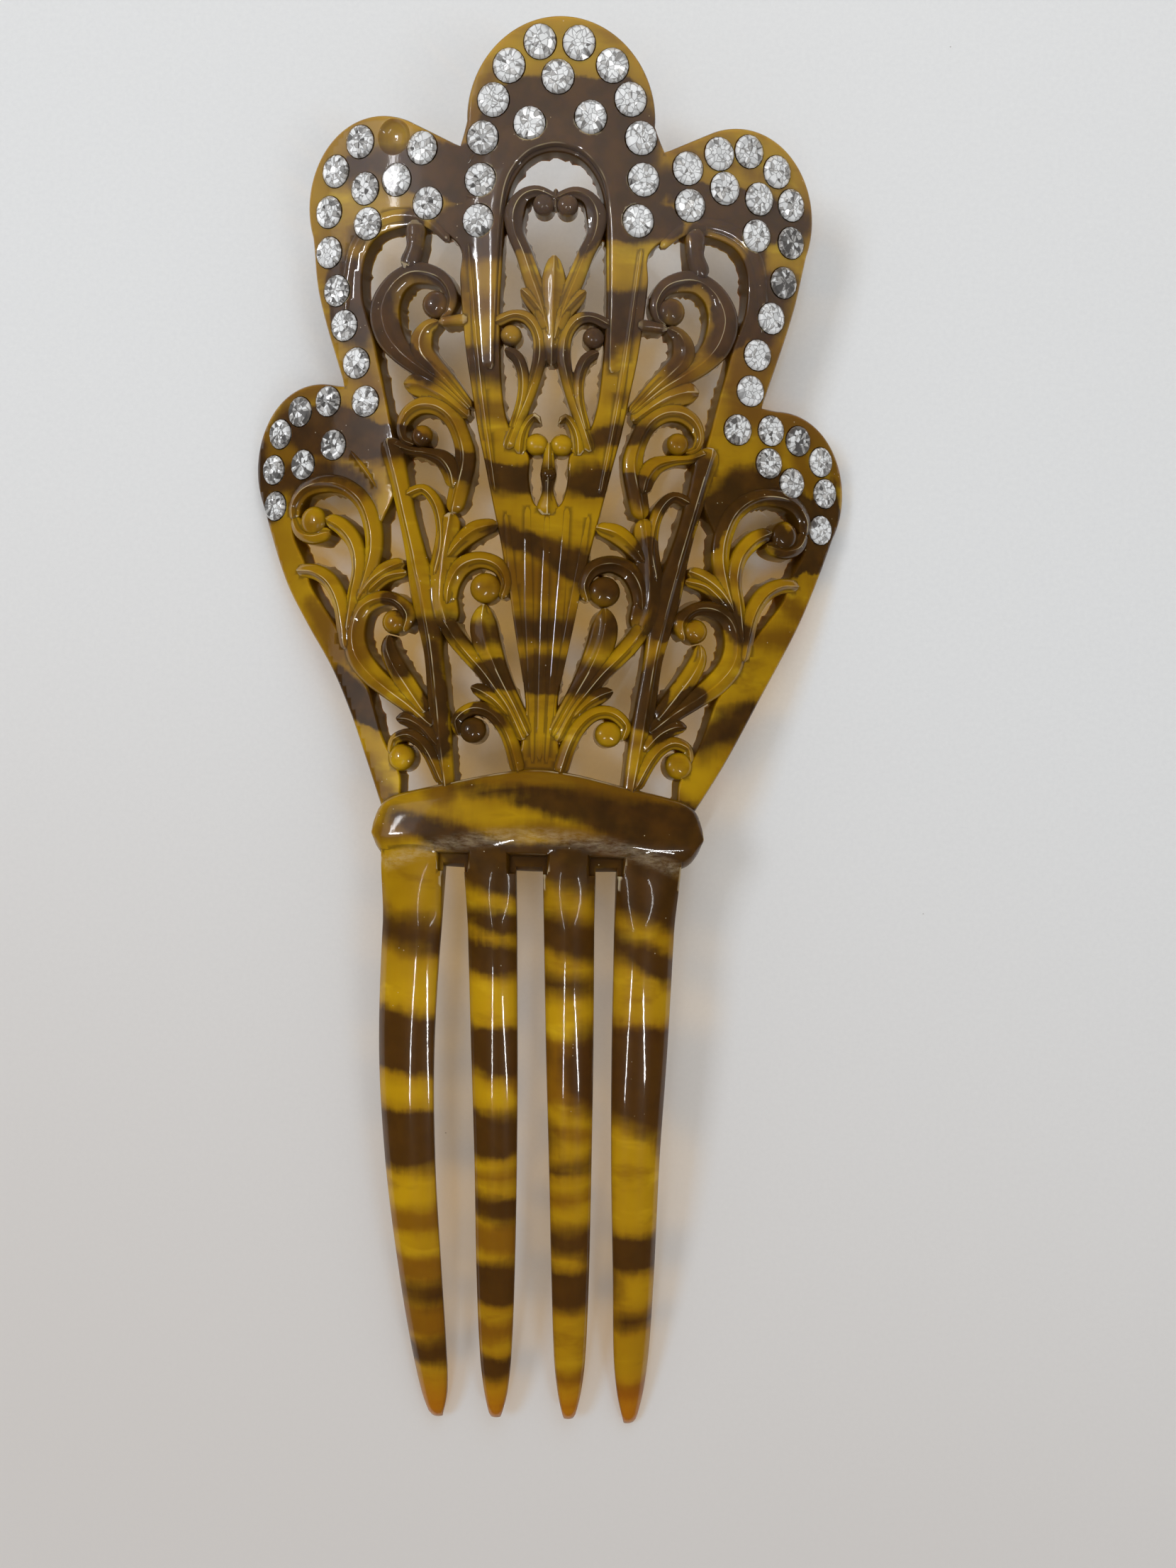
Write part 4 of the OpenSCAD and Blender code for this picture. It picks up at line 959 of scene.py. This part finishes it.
# How slowly a band fades, in mm
fade = number("MULTIPLY_ADD", smooth_step(grain(75, 1), 0.4, 0.68), 1.2, 0.25)
fade = number("ADD", fade, times(reach(9, 6), 0.45))
dark = smooth_step(number("DIVIDE", number("ADD", stored("dark"), shift), fade), 1.0, -1.0)
halo = smooth_step(number("ADD", stored("dark"), shift), 2.2, 0.0)
brown = smooth_step(number("ADD", stored("brown"), shift), 1.3, -1.3)
smoke = smooth_step(grain(210, 4, 0.6, stretch=(0.3, 1, 1)), 0.5, 0.72)
sheen = smooth_step(grain(330, 3, 0.5, stretch=(0.22, 1, 1)), 0.56, 0.74)
honey = mixed(smooth_step(grain(60, 3), 0.3, 0.7), srgb(178, 139, 4), srgb(144, 105, 2))
honey = mixed(times(sheen, 0.5), honey, srgb(214, 178, 28))
# Painted light: the tines let more light in than the crown, so they are painted a brighter honey, and
# their tips are amber
thin = reach(4, -26)
honey = mixed(times(thin, 0.4), honey, srgb(204, 158, 2))
honey = mixed(times(reach(-44, -74), 0.5), honey, srgb(146, 98, 2))
stain = most(times(brown, 0.8), most(times(halo, 0.38), times(smoke, 0.5)))
ground = mixed(stain, honey, mixed(thin, srgb(100, 62, 3), srgb(116, 68, 1)))
ground = mixed(times(reach(-76, -85), 0.6), ground, srgb(168, 88, 2))
# The scrolls on the flanks stand out of the sheet and are redder than it
height = stored("height")
x = object_place()["X"]
raised = times(smooth_step(height, 2.5, 3.0), smooth_step(number("ABSOLUTE", x), 0.009, 0.016))
raised = times(raised, reach(8, 12))
ground = mixed(times(raised, 0.26), ground, srgb(116, 70, 4))
night = mixed(smooth_step(grain(300, 3), 0.3, 0.75), srgb(52, 30, 7), srgb(76, 46, 9))
night = mixed(times(thin, 0.6), night, srgb(76, 42, 2))
colour = mixed(times(dark, 0.96), ground, night)
# Painted shade: the walls of the crown are painted dark brown
wall = times(smooth_step(height, 2.46, 2.1), smooth_step(height, 0.0, 0.35))
wall = times(wall, reach(-2, 2))
colour = mixed(times(wall, 0.7), colour, srgb(70, 44, 6))
# Light has a longer way through where the surface is steep, so edges look dark
edge = times(smooth_step(stored("steep"), 0.06, 0.6), smooth_step(height, 0.0, 0.35))
colour = mixed(times(edge, 0.5), colour, srgb(58, 34, 3))
# Painted shade darkens the valleys, and a painted highlight runs pale along the sharp arrises
fold = stored("fold")
colour = mixed(times(smooth_step(fold, -0.1, -0.9), 0.5), colour, srgb(58, 35, 8))
arris = times(smooth_step(fold, 0.5, 1.0), smooth_step(grain(190, 2), 0.4, 0.62))
arris = times(arris, smooth_step(height, 3.7, 3.5))
# Dust lies in an arc on the bar and in specks all over, and the pale film on the lobes is a painted
# reflection of the pale room
arc_line = number("MULTIPLY_ADD", times(x, x), 10500.0, number("ADD", stored("along"), 0.4))
on_arc = smooth_step(number("ABSOLUTE", arc_line), 1.7, 0.1)
painted_reflection = times(reach(48, 88), smooth_step(height, 2.3, 2.48))
colour = mixed(times(painted_reflection, 0.13), colour, srgb(172, 163, 158))
crest = times(on_arc, smooth_step(grain(2200, 4, 0.7, stretch=(0.3, 1, 1)), 0.25, 0.85))
crest = times(crest, smooth_step(height, 3.0, 3.5))
dust = times(speck_mask(1500, 0.05, 0.12), smooth_step(height, 2.2, 2.45))
# Dust and the painted highlight on the arrises turn the colour pale
dust_and_glint = most(times(crest, 0.34), times(dust, 0.55))
dust_and_glint = most(dust_and_glint, times(arris, 0.55))
colour = mixed(dust_and_glint, colour, srgb(208, 192, 158))
# The gloss is thinner where the plastic is dusty, and the roots of the tines are rubbed dull
rubbed = times(reach(-19, -13), reach(-1, -4))
dull = most(times(rubbed, 0.85), times(crest, 0.6))
dull = most(dull, times(smooth_step(grain(160, 3), 0.4, 0.7), 0.3))
gloss = number("SUBTRACT", 1.0, dull)
plug(surface, {"Base Color": colour, "Roughness": 0.36, "IOR": 1.5, "Specular IOR Level": 0.12,
    "Subsurface Weight": 0.55, "Subsurface Scale": 0.002, "Subsurface Radius": (1.0, 0.65, 0.12),
    "Coat Weight": gloss, "Coat Roughness": 0.05})
rounded = plug(nodes.new("ShaderNodeBevel"), {"Radius": 0.00008})
rounded.samples = 4
scratches = number("ADD", grain(2400, 3, 0.6, stretch=(1, 0.3, 1)), times(grain(700, 2), 0.9))
scratched = plug(nodes.new("ShaderNodeBump"), {"Normal": rounded.outputs["Normal"],
    "Strength": 0.1, "Distance": 0.00004, "Height": scratches})
plug(surface, {"Normal": scratched.outputs["Normal"], "Coat Normal": scratched.outputs["Normal"]})

# Light that passes through the plastic tints its shadow
ray = nodes.new("ShaderNodeLightPath")
through = plug(nodes.new("ShaderNodeBsdfTransparent"), {"Color": srgb(255, 224, 138)})
share = times(ray.outputs["Is Shadow Ray"], number("MULTIPLY_ADD", dark, -0.4, 0.85))
blend = plug(nodes.new("ShaderNodeMixShader"), {0: share, 1: surface.outputs[0], 2: through.outputs[0]})
links.new(blend.outputs[0], nodes["Material Output"].inputs["Surface"])
comb.data.materials.clear()
comb.data.materials.append(shell)
print("plastic:", len(nodes), "nodes")

# %% [markdown]
# ## Rhinestones
# Each stone is a round piece of glass with a table, a ring of star and kite facets and a girdle,
# foiled behind. Its facets are ground on a short drum. Its sparkle is a painted reflection: the
# foil seen through the facets is painted as a mosaic of bright and dark shards round a small
# table. Each face keeps how bright its painted glint is, and the material breaks it up further:
# radial shards outside, a loose mosaic inside.

# %% Cut stone
def cut_stone(chance, shine):
    """One faceted stone on the floor of its socket, in mm, with its own pattern and brightness."""
    low, girdle, top = sheet - socket_depth + stone_clearance, sheet + 0.1, sheet + table_rise
    r, sides = stone_size / 2, 16
    bm = bmesh.new()
    foil, own = bm.faces.layers.float.new("foil"), bm.faces.layers.float.new("own")
    across = bm.loops.layers.uv.new("across")
    bmesh.ops.create_cone(bm, cap_ends=True, segments=sides, radius1=r * 0.8, radius2=r,
        depth=girdle - low, matrix=Matrix.Translation((0, 0, (girdle + low) / 2)))
    crown = max(bm.faces, key=lambda f: f.calc_center_median().z)
    for share, h in ((0.8, girdle + 0.55 * (top - girdle)), (0.46, top)):
        bmesh.ops.inset_region(bm, faces=[crown], thickness=r * 0.2)
        for v in crown.verts:
            way = v.co.to_2d().normalized() * r * share
            v.co = (way.x, way.y, h)
    bmesh.ops.dissolve_verts(bm, verts=[v for i, v in enumerate(crown.verts) if i % 2])
    star = [f for f in bm.faces if f is not crown and f.normal.z > 0.1
        and f.calc_center_median().z > girdle + 0.02]
    bmesh.ops.poke(bm, faces=star)
    bmesh.ops.triangulate(bm, faces=[f for f in bm.faces if len(f.verts) > 4 and f is not crown])
    bmesh.ops.recalc_face_normals(bm, faces=bm.faces)
    seed = chance.uniform(0, 100)
    for f in bm.faces:
        f[foil] = chance.random() + shine
        f[own] = seed
        for loop in f.loops:
            loop[across].uv = loop.vert.co.to_2d() / r
    return finished(bm, "cut_stone")


print("a stone has", len(cut_stone(random.Random(1), 0).polygons), "faces")


# %% Foiled glass
glass, nodes, links = new_material("foiled_glass")
surface = nodes["Principled BSDF"]
uv = nodes.new("ShaderNodeUVMap")
uv.uv_map = "across"
flat = plug(nodes.new("ShaderNodeSeparateXYZ"), {0: uv.outputs[0]})
radius = plug(nodes.new("ShaderNodeVectorMath"), {0: uv.outputs[0]})
radius.operation = "LENGTH"
radius = radius.outputs["Value"]
angle = number("ARCTAN2", flat.outputs["Y"], flat.outputs["X"])
own = stored("own")


def shards(x, y, randomness):
    """A mosaic laid over x and y, another for each stone: each shard's colour and its seams."""
    place = plug(nodes.new("ShaderNodeCombineXYZ"), {0: x, 1: y, 2: own}).outputs[0]
    cells, seams = nodes.new("ShaderNodeTexVoronoi"), nodes.new("ShaderNodeTexVoronoi")
    seams.feature = "DISTANCE_TO_EDGE"
    for node in (cells, seams):
        plug(node, {"Vector": place, "Scale": 1.0, "Randomness": randomness})
    return cells.outputs["Color"], smooth_step(seams.outputs["Distance"], 0.1, 0.02)


outer, outer_seam = shards(times(angle, 2.0), times(radius, 1.6), 0.9)
inner, inner_seam = shards(times(flat.outputs["X"], 3.2), times(flat.outputs["Y"], 3.2), 1.0)
outside = number("GREATER_THAN", radius, 0.46)
shard = mixed(outside, inner, outer)
seam = mixed(outside, inner_seam, outer_seam)
parts = plug(nodes.new("ShaderNodeSeparateColor"), {0: shard})
bright = number("MULTIPLY_ADD", parts.outputs[0], 0.62, times(stored("foil"), 0.38))
# Painted reflection: the shards are painted in dark grey, pale and blown-out white
painted_glints = mixed(smooth_step(bright, 0.2, 0.46), srgb(92, 89, 86), srgb(194, 191, 186))
painted_glints = mixed(smooth_step(bright, 0.5, 0.56), painted_glints, srgb(255, 255, 253))
painted_glints = mixed(times(seam, 0.6), painted_glints, srgb(92, 88, 84))
painted_glints = mixed(times(smooth_step(radius, 0.84, 1.0), 0.45), painted_glints, srgb(126, 114, 100))
# Each shard of foil leans its own way
lean = plug(nodes.new("ShaderNodeVectorMath"), {0: shard, 1: (0.5, 0.5, 0.5)})
lean.operation = "SUBTRACT"
facing = plug(nodes.new("ShaderNodeVectorMath"), {0: lean.outputs[0], 1: (0.9, 0.9, 0.2),
    2: nodes.new("ShaderNodeNewGeometry").outputs["Normal"]})
facing.operation = "MULTIPLY_ADD"
facing_unit = plug(nodes.new("ShaderNodeVectorMath"), {0: facing.outputs[0]})
facing_unit.operation = "NORMALIZE"
plug(surface, {"Base Color": painted_glints, "Metallic": 0.2, "Roughness": 0.25, "Normal": facing_unit.outputs[0],
    "Coat Weight": 1.0, "Coat Roughness": 0.03})

# %% Stones set in the lobes
set_chance = random.Random(5)
# The painted reflection of the foil is brighter in some lobes than in others, and in a few stones the foil
# has gone grey
lobe_shine = {"stones_top": 0.5, "stones_upper_left": 0.2, "stones_upper_right": 0.5,
    "stones_lower_left": -0.25, "stones_lower_right": 0.1}
for node_name, places in stones.items():
    bm = bmesh.new()
    for s, t in places:
        one = cut_stone(set_chance, -0.45 if [s, t] in grey_stones else lobe_shine[node_name])
        one.transform(Matrix.Scale(0.001, 4))
        one.transform(seat(s, t, 0, set_chance.uniform(0, math.pi / 4)))
        bm.from_mesh(one)
        bpy.data.meshes.remove(one)
    mesh = finished(bm, node_name + "_cut")
    mesh.materials.append(glass)
    field = show(bpy.data.objects.new(node_name + "_cut", mesh))
    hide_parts(node_name)
    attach(field, "root")

# %% [markdown]
# ## Table, light and camera
# The comb was photographed on pale paper from just above it, beside a window on the left. So the
# table is a wide sheet with a fine grain, painted a little darker and warmer towards the tips as
# painted shade where the light falls off. The window is drawn as a soft lamp that only lights, and
# as small ones that are only seen in the gloss, because a highlight's size and a shadow's softness
# were matched apart. The camera hangs 172 mm above.

# %% Table
bm = bmesh.new()
bmesh.ops.create_grid(bm, x_segments=1, y_segments=1, size=1.2)
mesh = finished(bm, "table_top")
table_top = show(bpy.data.objects.new("table_top", mesh))
table_top.location.z = -0.0001
pale, nodes, links = new_material("pale_table")
paper = mixed(grain(1500, 3, 0.7), srgb(213, 213, 212), srgb(225, 225, 223))
place = object_place()
# Painted shade: the paper is painted darker and warmer towards the tips, where the light falls off
painted_falloff = smooth_step(number("MULTIPLY_ADD", place["X"], 0.3, place["Y"]), 0.06, -0.13)
paper = mixed(times(painted_falloff, 0.8), paper, srgb(202, 195, 188))
paper = mixed(times(speck_mask(160, 0.12, 0.02), 0.5), paper, srgb(120, 112, 104))
plug(nodes["Principled BSDF"], {"Base Color": paper, "Roughness": 0.55})
mesh.materials.append(pale)


# %% Lamps
def lamp(name, way, far, wide, long, watts, colour=(1, 1, 1)):
    """A soft rectangle of light: the direction it comes from, its distance and its size in metres."""
    light = bpy.data.lights.new(name, "AREA")
    light.shape, light.size, light.size_y = "RECTANGLE", wide, long
    light.energy, light.color = watts, colour
    o = bpy.data.objects.new(name, light)
    o.location = Vector(way).normalized() * far
    o.rotation_euler = (-o.location).to_track_quat("-Z", "Y").to_euler()
    return show(o)


cool = (0.95, 0.96, 1.0)
window_light = lamp("window_light", (-0.6, 0.2, 0.82), 1.2, 0.42, 0.3, 4.6, cool)
window_gleam = lamp("window_gleam", (-0.65, 0.14, 0.78), 1.2, 0.075, 0.1, 1.6, (0.93, 0.95, 1.0))
window_pane = lamp("window_pane", (-0.792, 0.262, 0.917), 1.24, 0.16, 0.034, 0.3, (0.98, 0.98, 1.0))
pale_wall = lamp("pale_wall", (-0.72, 0.2, 0.7), 1.25, 0.6, 0.5, 0.5, (0.95, 0.95, 1.0))
lamp("left_lamp", (-0.2, -0.36, 0.9), 1.2, 0.02, 0.36, 1.3)
lamp("right_lamp", (0.46, -0.36, 0.82), 1.2, 0.02, 0.36, 1.6)
ceiling_light = lamp("ceiling_light", (0.1, 0.75, 0.75), 0.62, 0.4, 0.4, 1.25)
window_light.visible_glossy = ceiling_light.visible_glossy = False
for seen_in_gloss in (window_gleam, window_pane, pale_wall):
    seen_in_gloss.visible_diffuse = False
world = bpy.data.worlds.new("studio")
bpy.context.scene.world = world
world.use_nodes = True
nodes, links = world.node_tree.nodes, world.node_tree.links
soft = nodes["Background"]
soft.inputs[0].default_value, soft.inputs[1].default_value = (0.95, 0.97, 1.0, 1), 0.4
# In gloss the room is darker than the light that it gives, as a room with few lamps is
mirrored_room = nodes.new("ShaderNodeBackground")
mirrored_room.inputs[0].default_value, mirrored_room.inputs[1].default_value = (0.9, 0.95, 1.0, 1), 0.035
choose = nodes.new("ShaderNodeMixShader")
links.new(nodes.new("ShaderNodeLightPath").outputs["Is Glossy Ray"], choose.inputs[0])
links.new(soft.outputs[0], choose.inputs[1])
links.new(mirrored_room.outputs[0], choose.inputs[2])
links.new(choose.outputs[0], nodes["World Output"].inputs["Surface"])
bpy.context.scene.view_settings.view_transform = "Standard"

# %% Camera
camera = show(bpy.data.objects.new("camera", bpy.data.cameras.new("camera")))
camera.location = (0.00689, -0.00225, 0.172)
camera.rotation_euler = (0, 0, math.radians(1.84))
camera.data.sensor_fit = "VERTICAL"
camera.data.sensor_height = 24
# A phone's main camera: its focal length is 1660 pixels in a picture 2212 pixels high
camera.data.lens = camera.data.sensor_height * 1660 / 2212
camera.data.clip_start = 0.01
bpy.context.scene.camera = camera
